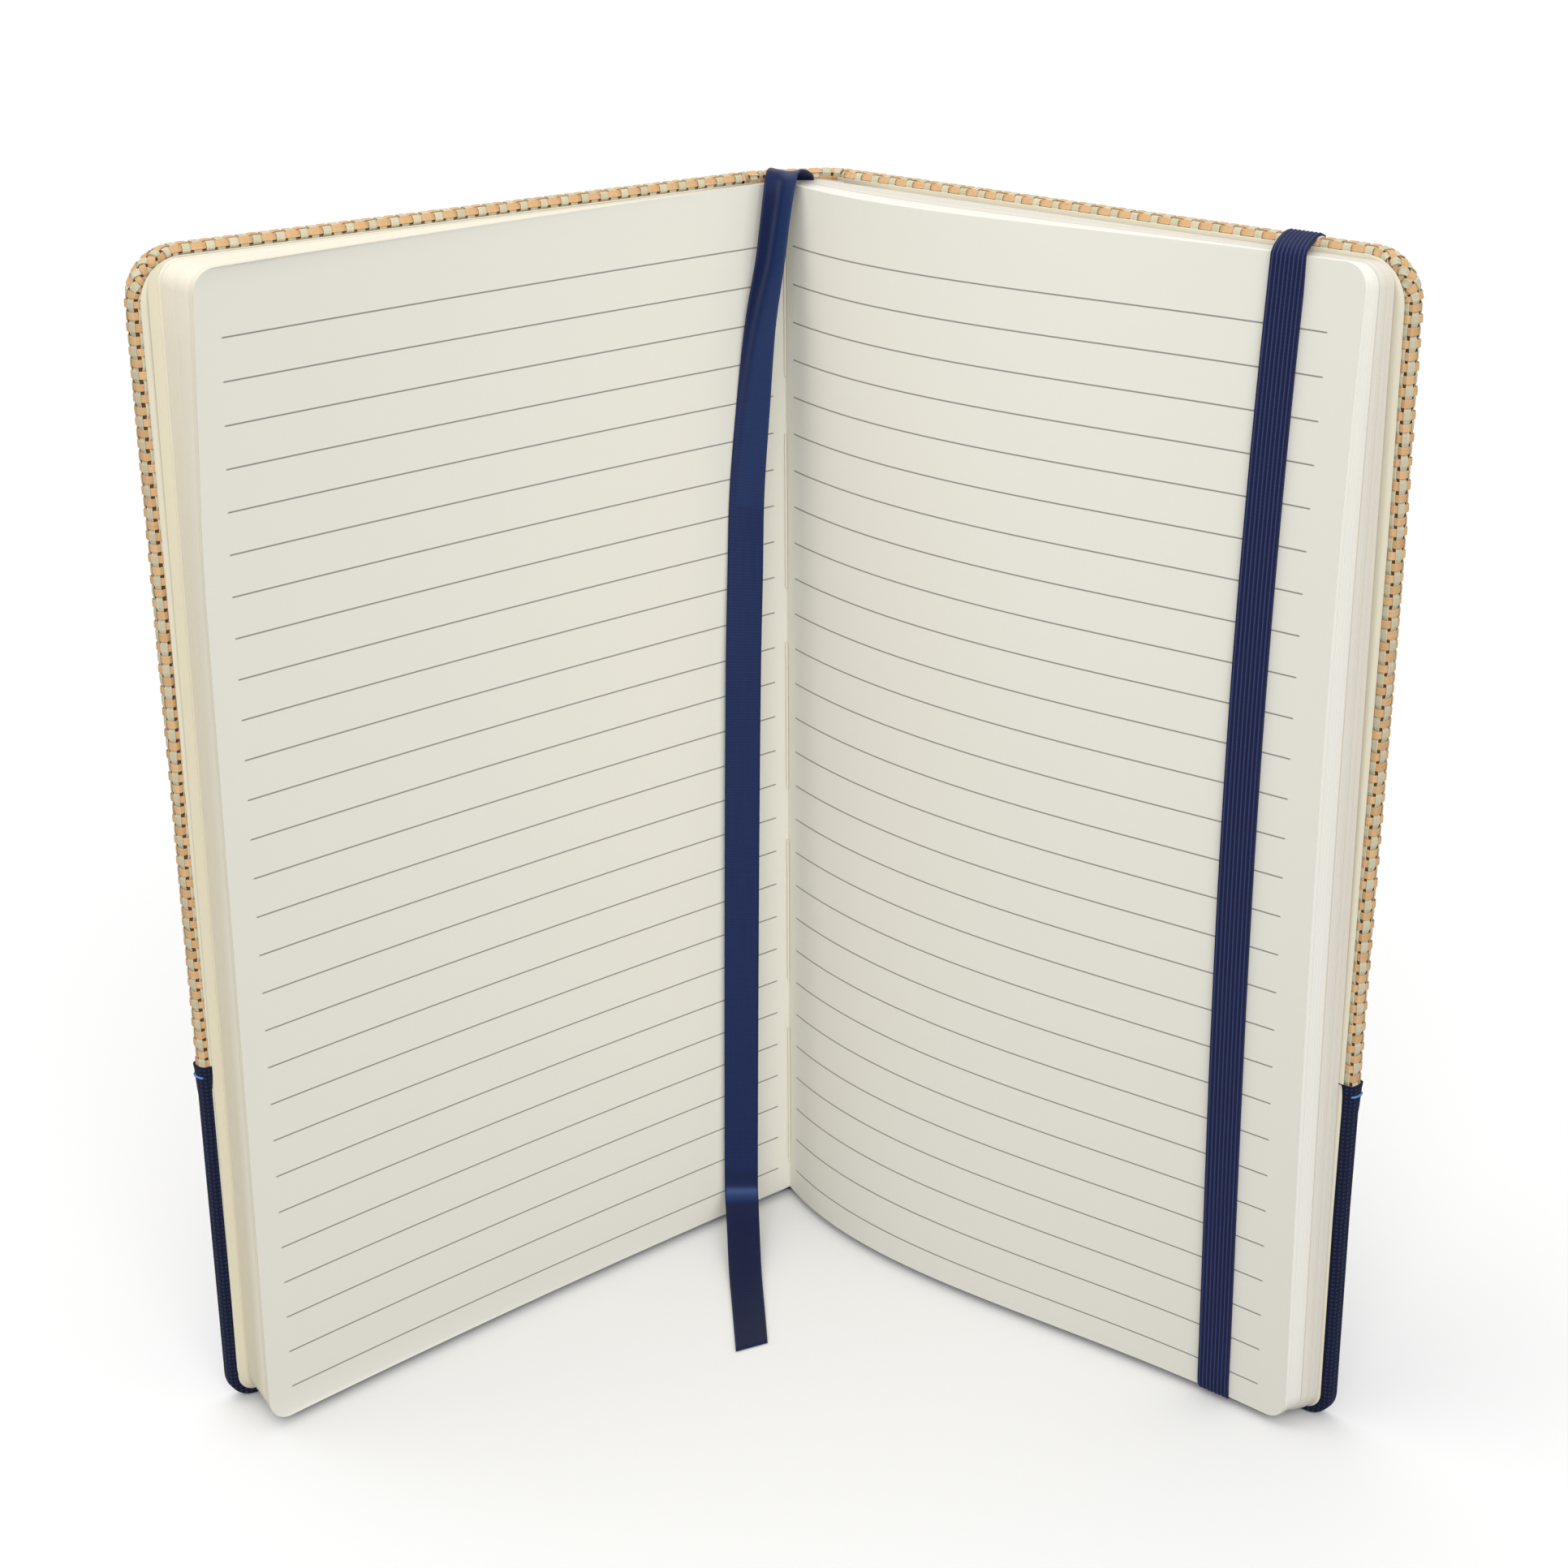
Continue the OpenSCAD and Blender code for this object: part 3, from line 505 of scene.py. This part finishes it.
# The navy dye, painted lighter on the crowns and darker in the gaps
dye_and_painted_shade = add(tree, "MixRGB", {"Fac": both.outputs[0], "Color1": linear("#12172C"),
                            "Color2": linear("#2A3252")})
tree.links.new(dye_and_painted_shade.outputs[0], shader.inputs["Base Color"])
relief = add(tree, "Bump", {"Height": both.outputs[0], "Distance": 0.0002, "Strength": 0.8})
tree.links.new(relief.outputs[0], shader.inputs["Normal"])
shader.inputs["Sheen Weight"].default_value = 0.03
shader.inputs["Specular IOR Level"].default_value = 0.1

front_hem, back_hem, foot_corner, canvas_t = 67.6, 66.8, 5, 0.4


def canvas(name, low, high, body):
    """Canvas wrapped round the foot of the case, a thin closed sheet with the hem at its top."""
    q = across_case(low, high, 120.6, 19, 0.5)
    # The hem is a little lower on the back cover than on the front one
    top = front_hem if high < 0 else back_hem
    z = np.concatenate([top - np.array([0, 0.3, 1, 2, 3, 4.5, 6]), np.linspace(56, 5, 12),
                        4.5 - np.arange(0, 13, 0.5)])
    lift = np.interp(z, [0, top - 6, top - 4.5, top - 1, top], [0.12, 0.12, 0.25, 0.42, 0.55])[:, None]
    outer = cloth(q[None, :], z[:, None], lift, foot=foot_corner)
    inner = cloth(q[None, :], z[:, None], lift - canvas_t, foot=foot_corner)
    made = put(name, *sheet_between(outer, inner), [navy_canvas], body)
    return made


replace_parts(canvas("front_canvas", -141, -3.0, "front_cover"), "front_canvas_band")
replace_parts(canvas("back_canvas", 3.0, 160, "back_cover_and_leaves"), "back_canvas_band")
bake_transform(canvas("joint_canvas", -3.2, 3.2, None), "back_cover_and_leaves", "front_cover",
         start=tuple(cloth(3.2, 40, 0) / 1000), end=tuple(cloth(-3.2, 40, 0) / 1000))


# Hem stitches
# Light blue cotton, one row of machine stitches along the hem, each stitch dipping into the canvas
# at both ends. The row goes round the fore-edge with the hem.

# Twisted cotton, matt, with fine slanting bands, which a scale of 1.2 draws 1.9 to the mm
blue_thread, tree, shader = start_material("light blue cotton thread", 0.7)
place = add(tree, "UVMap", uv_map="flat").outputs[0]
twist = add(tree, "TexWave", {"Vector": place, "Scale": 1.2}, bands_direction="DIAGONAL")
strands = add(tree, "MixRGB", {"Fac": twist.outputs[1], "Color1": linear("#356AAE"),
                               "Color2": linear("#5C93D2")})
tree.links.new(strands.outputs[0], shader.inputs["Base Color"])
stitch_pitch, stitch_long, stitch_r, below_hem = 3.6, 2.7, 0.22, 2.0
for name, side, body in (("front", -1, "front_cover"), ("back", 1, "back_cover_and_leaves")):
    points, faces, flat = [], [], []
    starts = np.arange(3.4, cover_w + 1.0, stitch_pitch)
    if side > 0:
        # The row on the back cover goes on over the spine
        starts = np.concatenate([starts, [-12.2, -8.6, -5.0]])
    for first in starts:
        t = np.linspace(0, 1, 9)
        u = first + stitch_long * t
        rise = 0.26 + 0.28 * np.sin(pi * t) ** 0.6
        turn = np.linspace(0, 2 * pi, 7)[:-1]
        low_z = (front_hem if side < 0 else back_hem) - below_hem
        rings = cloth(half_gap + side * (half_gap + u[:, None]), low_z + stitch_r * np.cos(turn),
                      rise[:, None] + stitch_r * np.sin(turn), foot=foot_corner)
        faces += tube_faces(9, 6, sum(map(len, points)))
        points.append(rings.reshape(-1, 3))
        flat.append(np.stack(np.broadcast_arrays(u[:, None], turn), -1).reshape(-1, 2))
    stitches = put(name + "_stitches", np.vstack(points), faces, [blue_thread], body, flat=np.vstack(flat))
    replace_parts(stitches, name + "_band_stitches")


# Endpapers and flyleaf
# Smooth uncoated cartridge paper. One half of each endpaper is pasted over the board and the
# turned-in cloth, and the front one's other half is free.

# Uncoated wood-free paper: matt, with faint clouds of fibre 1.5 to the mm
endpaper, tree, shader = start_material("ivory endpaper", 0.85)
fibre = add(tree, "TexNoise", {"Scale": 1.5 * 1000, "Detail": 5.0})
pulp = add(tree, "MixRGB", {"Fac": fibre.outputs[0], "Color1": linear("#DAD4BD"),
                            "Color2": linear("#E0DAC6")})
tree.links.new(pulp.outputs[0], shader.inputs["Base Color"])
for name in ("front_flyleaf", "spine_lining"):
    nodes[name].data.materials.clear()
    nodes[name].data.materials.append(endpaper)


def plate(name, at, bare, depth, turns, finish, body):
    """A flat sheet in a cover, from bare[0] mm off the joint to bare[1] mm short of the fore-edge,
    bare[2] of the head and bare[3] of the foot, and as deep in the cover as depth says. turns are
    the radii of its corners at the head and at the foot."""
    arc = 1 - np.cos(pi / 2 * np.arange(9) / 8)
    top = head_z - bare[2]
    # Rows close together in the corners, and how far each corner cuts them short
    z = np.unique(np.concatenate([bare[3] + turns[1] * arc, np.linspace(8, 198, 18), top - turns[0] * arc]))
    away = [np.clip((turn - e) / turn, 0, 1) for e, turn in ((top - z, turns[0]), (z - bare[3], turns[1]))]
    cut = sum(turn * (1 - np.sqrt(1 - a * a)) for a, turn in zip(away, turns))
    last = cover_w - bare[1] - cut
    share = np.concatenate([np.linspace(0, 0.96, 9), [0.98, 0.99, 1.0]])
    u = bare[0] + share[None, :] * (last[:, None] - bare[0])
    z = np.broadcast_to(z[:, None], u.shape)
    u = spread(u, z, body == "front_cover")
    sides = [np.concatenate([at(u, w), z[..., None]], -1) for w in depth[::-1]]
    made = put(name, *sheet_between(*sides), [finish], body)
    return made


pasted_depth, pasted_turns = (3.14, 3.32), (7.4, 3.5)
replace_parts(plate("front_pastedown", front_at, (3.2, 1.4, 1.6, 1.5), pasted_depth, pasted_turns,
                  endpaper, "front_cover"), "front_endpaper")
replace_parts(plate("back_pastedown", back_at, (3.2, 1.65, 1.15, 1.5), pasted_depth, pasted_turns,
                  endpaper, "back_cover_and_leaves"), "back_endpaper")


# Cover boards and spine card
# Grey binding board, 1.8 mm thick, glued to the cloth on the outside and hidden by the endpapers
# inside. The card in the spine is thinner, so that it can bend.

# Pressed waste paper: matt, with specks 0.9 to the mm
greyboard, tree, shader = start_material("greyboard", 0.95)
grain = add(tree, "TexNoise", {"Scale": 0.9 * 1000, "Detail": 4.0})
specks = add(tree, "MixRGB", {"Fac": grain.outputs[0], "Color1": linear("#8F897D"),
                              "Color2": linear("#A9A397")})
tree.links.new(specks.outputs[0], shader.inputs["Base Color"])
nodes["spine_card"].data.materials.clear()
nodes["spine_card"].data.materials.append(greyboard)
board_bare, board_depth, board_turns = (6.4, 0.95, 0.95, 0.95), (0.85, 2.65), (6.5, 4.0)
for name, at, body in (("front_board", front_at, "front_cover"),
                       ("back_board", back_at, "back_cover_and_leaves")):
    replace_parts(plate(name + "_sheet", at, board_bare, board_depth, board_turns, greyboard, body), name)


# Leaves
# Ruled ivory writing paper in sewn sections. On the right the leaves are pressed together under
# the elastic, and on the left they are fanned. The edge of each leaf shows as a fine line.
rule_gap, first_rule, last_rule, fade = 7.02, 5.0, 199.0, 0.3


def ruled(name, start, end):
    """Writing paper with grey rules from start to end mm out from the centre fold. It is matt, with
    faint clouds of fibre 1.2 to the mm."""
    made, tree, shader = start_material(name, 0.9)
    place = add(tree, "SeparateXYZ", {"Vector": add(tree, "UVMap", uv_map="flat").outputs[0]})
    out, high = place.outputs[0], place.outputs[1]
    off = add(tree, "Math", {0: high, 1: rule_gap / 2}, operation="PINGPONG")
    line = add(tree, "MapRange", {"Value": off.outputs[0], 1: 0.07, 2: 0.19, 3: 1.0, 4: 0.0})
    for value, low in ((out, start), (high, first_rule)):
        shown = add(tree, "MapRange", {"Value": value, 1: low, 2: low + fade, 3: 0.0, 4: 1.0})
        line = add(tree, "Math", {0: line.outputs[0], 1: shown.outputs[0]}, operation="MULTIPLY")
    for value, stop in ((out, end), (high, last_rule)):
        shown = add(tree, "MapRange", {"Value": value, 1: stop, 2: stop + fade, 3: 1.0, 4: 0.0})
        line = add(tree, "Math", {0: line.outputs[0], 1: shown.outputs[0]}, operation="MULTIPLY")
    pulp = add(tree, "TexNoise", {"Scale": 1.2 * 1000, "Detail": 4.0})
    tone = add(tree, "MixRGB", {"Fac": pulp.outputs[0], "Color1": linear("#E2E0D4"),
                                "Color2": linear("#E7E5DB")})
    inked = add(tree, "MixRGB", {"Fac": line.outputs[0], "Color1": tone.outputs[0],
                                 "Color2": linear("#8A8683")})
    tree.links.new(inked.outputs[0], shader.inputs["Base Color"])
    return made


def paper_edge(name, light, dark):
    """Cut edges of the leaves: fine lines that follow the leaves, one tone for each, in which light and
    shade are painted.
    """
    made, tree, shader = start_material(name, 0.9)
    own = add(tree, "Attribute", attribute_name="shade").outputs[2]
    tone = add(tree, "MixRGB", {"Fac": own, "Color1": linear(dark), "Color2": linear(light)})
    tree.links.new(tone.outputs[0], shader.inputs["Base Color"])
    return made


left_paper, right_paper = ruled("left ruled paper", 3.0, 122.7), ruled("right ruled paper", 3.0, 119.4)
# Each runs from a lit light tone to a dark one, which paints the shade in the gaps between the leaves
left_edge = paper_edge("cream leaf edges", "#EEE8D8", "#CDC4A3")
right_edge = paper_edge("ivory leaf edges", "#ECEAE1", "#B0A18E")
foot_z, page_high, corner, leaf_w = 2.2, 205.6, 3.8, 123.8
wedge = [corner * (1 - cos(pi / 2 * i / 6)) for i in range(7)]
rows_e = np.array(wedge + [corner + (page_high - 2 * corner) * i / 20 for i in range(1, 20)]
                  + [page_high - e for e in wedge[::-1]])


def corner_cut(e):
    """How much shorter than the others a row of a leaf is, e mm above its foot, for the round corners."""
    e = np.minimum(e, page_high - e)
    return np.where(e >= corner, 0, corner - np.sqrt(np.maximum(corner ** 2 - (corner - e) ** 2, 0)))


# The fold lies fold_past mm past the back joint, and fold_rise mm above the endpaper
cover_in, fold_rise, fold_past, right_w, right_curve_w = 3.3, 7.1, 3.4, 121.3, 125.6


def right_height(u, e):
    """Height of the top right-hand leaf above the back cover's outer face. Its thickness at the
    fore-edge and the bulge near the fold are given at mid-height, at the foot and at the head."""
    h = e / page_high
    t = np.clip((u + fold_past) / right_curve_w, 0, 1)
    m = 4 * h * (1 - h)
    edge = 8.7 * m + (7.2 + (4.6 - 7.2) * h) * (1 - m)
    rise = 37.9 * m + 54 * (1 - m)
    power = 1.6 * m + 2.4 * (1 - m)
    return cover_in + fold_rise * (1 - t) + edge * t + rise * t * (1 - t) ** power


def right_top(share, e, short=0.0):
    """Plan of the top right-hand leaf, at a share of the way out and e mm above its foot."""
    u = -fold_past + share * (right_w + fold_past - corner_cut(e) - short)
    return back_at(u, right_height(u, e))


def left_top(share, e, short=0.0):
    """The same for the top left-hand leaf."""
    # Its head is slid in a little, and it sags midway
    slide, sag, edge_in = 0.044, 1.2, 15.45
    slid = slide * np.maximum(e - 158, 0)
    a, b = back_at(-fold_past, 10.4), front_at(leaf_w - corner_cut(e) - short - slid, edge_in + 0 * e)
    t = np.asarray(share, float)
    return (a + (b - a) * t[..., None]
            + np.array([-sin(front_tilt), cos(front_tilt)]) * (sag * 4 * t * (1 - t))[..., None])


def under(side, share, e, short=0.0):
    """Plan of the lowest leaf of a side: from the block's back, round the joint and out along the cover."""
    half_back, back_in, past_joint, flyleaf_in = 4.4, 1.8, 3.2, 3.85
    if side > 0:
        fixed = [spine_at(0, back_in), spine_at(half_back, back_in), back_at(past_joint, cover_in)]
        last = back_at(leaf_w - corner_cut(e) - short, cover_in + 0 * e)
    else:
        fixed = [spine_at(0, back_in), spine_at(-half_back, back_in), front_at(past_joint, flyleaf_in)]
        last = front_at(122.1 - corner_cut(e) - short, flyleaf_in + 0 * e)
    s1 = half_back
    s2 = s1 + float(np.linalg.norm(fixed[2] - fixed[1]))
    s3 = s2 + np.linalg.norm(last - fixed[2], axis=-1)
    s = share * s3
    first = fixed[0] + (fixed[1] - fixed[0]) * np.clip(s / s1, 0, 1)[..., None]
    second = (fixed[2] - fixed[1]) * np.clip((s - s1) / (s2 - s1), 0, 1)[..., None]
    third = (last - fixed[2]) * np.clip((s - s2) / (s3 - s2), 0, 1)[..., None]
    return first + second + third


def leaf_spot(side, f, share, e, short=0.0):
    """A point of the leaf at a share f of the thickness, from the cover to the top."""
    top = (right_top if side > 0 else left_top)(share, e, short)
    low = under(side, share, e, short)
    plan = low + (top - low) * np.asarray(f)[..., None]
    z = foot_z + page_high / 2 + (e - page_high / 2) * (1 - 2 * np.asarray(short) / page_high)
    # The leaves hang a little from their stitches, so their feet are low
    z = z - 0.7 * np.clip(1 - e / 5, 0, 1)
    return np.concatenate([plan, (z + 0 * share)[..., None]], -1)


# Shares of the way out, closer together near the fold, where the leaves bend most
t = np.linspace(0, 1, 31)
columns = t * (1 - 0.45 * (1 - t))
points, faces, chosen, flat, shade, total = [], [], [], [], [], 0


def add_part(part, quads, finish, spots, tones):
    """Adds points and quads to the leaves, with a finish, flat places and tones."""
    global total
    points.append(part)
    faces.extend((np.asarray(quads) + total).tolist())
    chosen.extend([finish] * len(quads))
    flat.append(spots)
    shade.append(tones)
    total += len(part)


for side, page, edge in ((1, 1, 3), (-1, 0, 2)):
    share, e = np.meshgrid(columns, rows_e)
    count_r, count_c = share.shape
    i, j = np.meshgrid(np.arange(count_r - 1), np.arange(count_c - 1), indexing="ij")
    a = i * count_c + j
    quads = np.stack([a, a + 1, a + count_c + 1, a + count_c], -1).reshape(-1, 4)
    for f, finish in ((1.0, page), (0.0, edge)):
        part = leaf_spot(side, f, share, e)
        far = share * ((125.6 if side > 0 else 127.9) - corner_cut(e))
        add_part(part.reshape(-1, 3), quads, finish, np.stack([far, foot_z + e], -1).reshape(-1, 2),
                 np.full(part.size // 3, 0.7))
    # The band of cut edges: out along the head, down the fore-edge, and back along the foot
    ring_s = np.concatenate([columns, np.ones(count_r - 2), columns[::-1]])
    ring_e = np.concatenate([np.full(count_c, page_high), rows_e[::-1][1:-1], np.zeros(count_c)])
    # Bundles of leaves from the cover to the top: where each ends, how far its edge is set back, its tone
    # at both ends, in which light and shade are painted over the paper's own tone, and how deep the gap
    # after it is, which is painted dark as its shadow
    bundles = {1: ((0.07, 1.3, 0.0, 0.0, 0), (0.18, 0.05, 0.62, 0.68, 0.4), (0.32, 0.0, 0.64, 0.7, 0.35),
                   (0.52, 0.05, 0.66, 0.74, 0.35), (0.88, 0.2, 0.92, 1.0, 0.6), (1.0, 0.0, 1.0, 1.0, 0)),
               -1: ((0.07, 0.0, 1.0, 1.0, 0.3), (0.44, 0.15, 0.85, 0.88, 0.3), (0.86, 0.1, 0.86, 0.92, 0.3),
                    (1.0, 0.0, 0.7, 0.8, 0))}[side]
    levels, inset, tone, wavy = [], [], [], []
    start = 0.0
    for stop, back, tone_a, tone_b, gap in bundles:
        many = max(2, round(40 * (stop - start)))
        for k in range(many):
            # The first line of each leaf is set back, and painted darker as its shade
            for part_f, more in ((0.12, 0.05), (0.3, 0.0), (0.8, 0.0)):
                levels.append(start + (stop - start) * 0.94 * (k + part_f) / many)
                inset.append(back + more + chance.uniform(0, 0.05))
                own = tone_a + (tone_b - tone_a) * k / many
                tone.append(own - 0.6 * more + chance.uniform(-0.03, 0.03))
                wavy.append(0.0)
        # The lines in a gap are painted dark, a painted shadow
        if gap:
            for part_f in (0.955, 0.985):
                levels.append(start + (stop - start) * part_f)
                inset.append(back + gap)
                tone.append(0.2)
                wavy.append(1.0 if side > 0 and stop == 0.88 else 0.0)
        start = stop
    # The lowest line, against the cover, is painted dark as shade, and the top one light
    levels, inset = [0.0] + levels + [1.0], [0.3] + inset + [0.0]
    tone, wavy = [0.3] + tone + [0.9], [0.0] + wavy + [0.0]
    levels, inset, wavy = (np.array(v)[:, None] for v in (levels, inset, wavy))
    # The top leaves on the right stand off the others round the middle of the fore-edge
    off = np.clip(1 - np.abs(ring_e - 95) / 65, 0, 1) * (ring_s > 0.98)
    inset = inset + wavy * 1.5 * off
    ring_f = levels - wavy * 0.05 * off
    part = leaf_spot(side, ring_f + 0 * ring_s, ring_s + 0 * levels, ring_e + 0 * levels,
                     inset + 0 * ring_s)
    many, around = part.shape[:2]
    i, j = np.meshgrid(np.arange(many - 1), np.arange(around - 1), indexing="ij")
    a = i * around + j
    quads = np.stack([a, a + 1, a + around + 1, a + around], -1).reshape(-1, 4)
    # Painted shade: part of the left-hand stack is painted a darker tan towards the foot
    tones = np.array(tone)[:, None] - (0.45 * (side < 0) * np.clip(2 - 4 * np.abs(levels - 0.26), 0, 1)
                                       * (1 - ring_e / page_high))
    add_part(part.reshape(-1, 3), quads, edge, np.zeros((many * around, 2)), tones.ravel())
leaves_mesh = put("leaves", np.vstack(points), faces, [left_paper, right_paper, left_edge, right_edge],
                  "back_cover_and_leaves", flat=np.vstack(flat), shade=np.concatenate(shade), chosen=chosen)
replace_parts(leaves_mesh, "page_block")


# Sewing thread
# Linen thread through the folds of the middle section, five long stitches.

# Bleached flax, matt, which shows only as a pale line in the fold
linen, tree, shader = start_material("linen thread", 0.8)
shader.inputs["Base Color"].default_value = linear("#E2DDCB")
nodes["sewing_thread"].data.materials.clear()
nodes["sewing_thread"].data.materials.append(linen)


# Elastic closure
# Flat navy elastic, knitted in eight ribs. Its ends go through two slits in the back cover, and
# it is stretched over the head, down the leaves and under the foot.

# Polyester yarn knitted over rubber: matt, with a painted highlight on the ribs and painted shade in the
# grooves between them. The yarn is drawn coarser than it is, 1.59 to the mm
navy_elastic, tree, shader = start_material("navy ribbed elastic", 0.75)
place = add(tree, "UVMap", uv_map="flat").outputs[0]
yarn = add(tree, "TexWave", {"Vector": place, "Scale": wave_scale(1.59), "Distortion": 0.8},
           bands_direction="Y")
speck = add(tree, "TexNoise", {"Vector": place, "Scale": 3.0, "Detail": 2.0})
own = add(tree, "Attribute", attribute_name="shade").outputs[2]
tone = add(tree, "MixRGB", {"Fac": own, "Color1": linear("#1B2042"), "Color2": linear("#45527F")})
faint = add(tree, "Math", {0: speck.outputs[0], 1: 0.35}, operation="MULTIPLY")
specked = add(tree, "MixRGB", {"Fac": faint.outputs[0], "Color1": tone.outputs[0],
                               "Color2": linear("#161A34")})
tree.links.new(specked.outputs[0], shader.inputs["Base Color"])
relief = add(tree, "Bump", {"Height": yarn.outputs[1], "Distance": 0.00004, "Strength": 0.5})
tree.links.new(relief.outputs[0], shader.inputs["Normal"])
shader.inputs["Sheen Weight"].default_value = 0.02
shader.inputs["Specular IOR Level"].default_value = 0.1

thick, band_w, band_u, rib_count, rib_deep = 0.9, 6.3, 106.1, 8, 0.14
across = 65
offset = np.linspace(-band_w / 2, band_w / 2, across)
# Narrow ribs, with broader grooves between them
rib = np.abs(np.sin(pi * (offset / band_w + 0.5) * rib_count)) ** 14


def band_line(u):
    """Route of the elastic in w and z, at u along the back cover."""
    rest = [(right_height(u, page_high * h) + 0.05 + thick / 2, foot_z + page_high * h)
            for h in np.linspace(0.995, 0.005, 24)]
    return ([(3.1, 197.6), (0.6, 197.6), (-0.55, 198.2), (-0.65, 199.6), (-0.65, 208.4), (-0.1, 209.5),
             (1.0, 209.75), (3.3, 209.6), (rest[0][0] - 1.2, 208.75), (rest[0][0] - 0.25, 208.0)] + rest
            + [(rest[-1][0] - 0.35, 1.9), (rest[-1][0] - 1.4, 1.2), (3.4, 0.6), (1.0, 0.45), (0.0, 0.6),
               (-0.62, 1.3), (-0.65, 10.2), (-0.55, 11.4), (0.6, 12), (3.1, 12)])


way = np.array([smooth_path(band_line(band_u + x), 1.6, band_line(band_u))[0] for x in offset])
ahead = unit(np.gradient(way, axis=1))
out_dir = np.stack([-ahead[..., 1], ahead[..., 0]], -1)
out_dir *= np.sign(out_dir[across // 2, way.shape[1] // 2, 0])


def banded(depth):
    """Points of the elastic's face that lies depth mm outside the middle of its thickness."""
    at = way + out_dir * np.broadcast_to(depth, (across,))[:, None, None]
    # It leans outwards up the leaves, and back again over the head
    over = np.clip(at[..., 0] / 9, 0, 1) ** 1.3
    slid = np.clip(at[..., 1] / 205, 0, 1) * (1.2 * over - 2.0 * (1 - over) * (at[..., 1] > 100))
    plan = back_at((band_u + offset)[:, None] + slid, at[..., 0])
    return np.concatenate([plan, at[..., 1:2]], -1)


face_out = banded(thick / 2 - rib_deep * (1 - rib))
face_in = banded(-thick / 2 + 0.05)
rings = np.concatenate([face_out, face_in[::-1]], 0).transpose(1, 0, 2)
length = np.cumsum(np.linalg.norm(np.gradient(way[across // 2], axis=0), axis=-1))
both_faces = np.concatenate([offset, offset[::-1]])[None, :]
spot = np.stack(np.broadcast_arrays(both_faces, length[:, None]), -1)
# The shade attribute paints a highlight on the ribs and shade in the grooves, and a middle tone on the
# inner face
elastic = put("elastic", rings.reshape(-1, 3), tube_faces(len(length), 2 * across), [navy_elastic],
              "back_cover_and_leaves", flat=spot.reshape(-1, 2),
              shade=np.tile(np.concatenate([rib, 0.3 + 0 * rib]), len(length)))
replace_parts(elastic, "elastic_closure")


# Floor and light
# A white table and backdrop in one, under broad soft light from above and from the front.
def seen_rays(tree):
    """1 for the rays by which a surface is seen, straight or in a mirror or through glass, and 0 for
    the rays that light the others."""
    path = add(tree, "LightPath")
    seen = add(tree, "Math", {0: path.outputs["Is Camera Ray"], 1: path.outputs["Is Glossy Ray"]},
               operation="MAXIMUM")
    return add(tree, "Math", {0: seen.outputs[0], 1: path.outputs["Is Transmission Ray"]},
               operation="MAXIMUM").outputs[0]


# Matt white laminate, which is seen white but throws back less light on the book
white_table, tree, shader = start_material("white table", 0.9)
table = add(tree, "MixRGB", {"Fac": seen_rays(tree), "Color1": linear("#808080"),
                             "Color2": linear("#F1F1F1")})
tree.links.new(table.outputs[0], shader.inputs["Base Color"])
shader.inputs["Specular IOR Level"].default_value = 0.0
far, table_z = 3000, -0.05
corners = [[-far, -far, table_z], [far, -far, table_z], [far, far, table_z], [-far, far, table_z]]
floor = put("floor", corners, [[0, 1, 2, 3]], [white_table])

world = bpy.data.worlds.new("studio")
bpy.context.scene.world = world
world.use_nodes = True
sky = world.node_tree
strength = add(sky, "MapRange", {"Value": seen_rays(sky), 1: 0.0, 2: 1.0, 3: 0.66, 4: 1.0})
sky.links.new(strength.outputs[0], sky.nodes["Background"].inputs["Strength"])
sky.nodes["Background"].inputs["Color"].default_value = (1, 1, 1, 1)

for name, towards, broad, power in (("overhead light", (-0.35, 0.35, 1.0), 60, 0.98),
                                    ("front light", (0.06, -1.0, 0.45), 60, 2.1)):
    lamp = bpy.data.lights.new(name, "SUN")
    lamp.angle = radians(broad)
    lamp.energy = power
    holder = bpy.data.objects.new(name, lamp)
    bpy.context.scene.collection.objects.link(holder)
    holder.rotation_euler = Vector(towards).to_track_quat("Z", "Y").to_euler()

bpy.context.scene.view_settings.view_transform = "Standard"
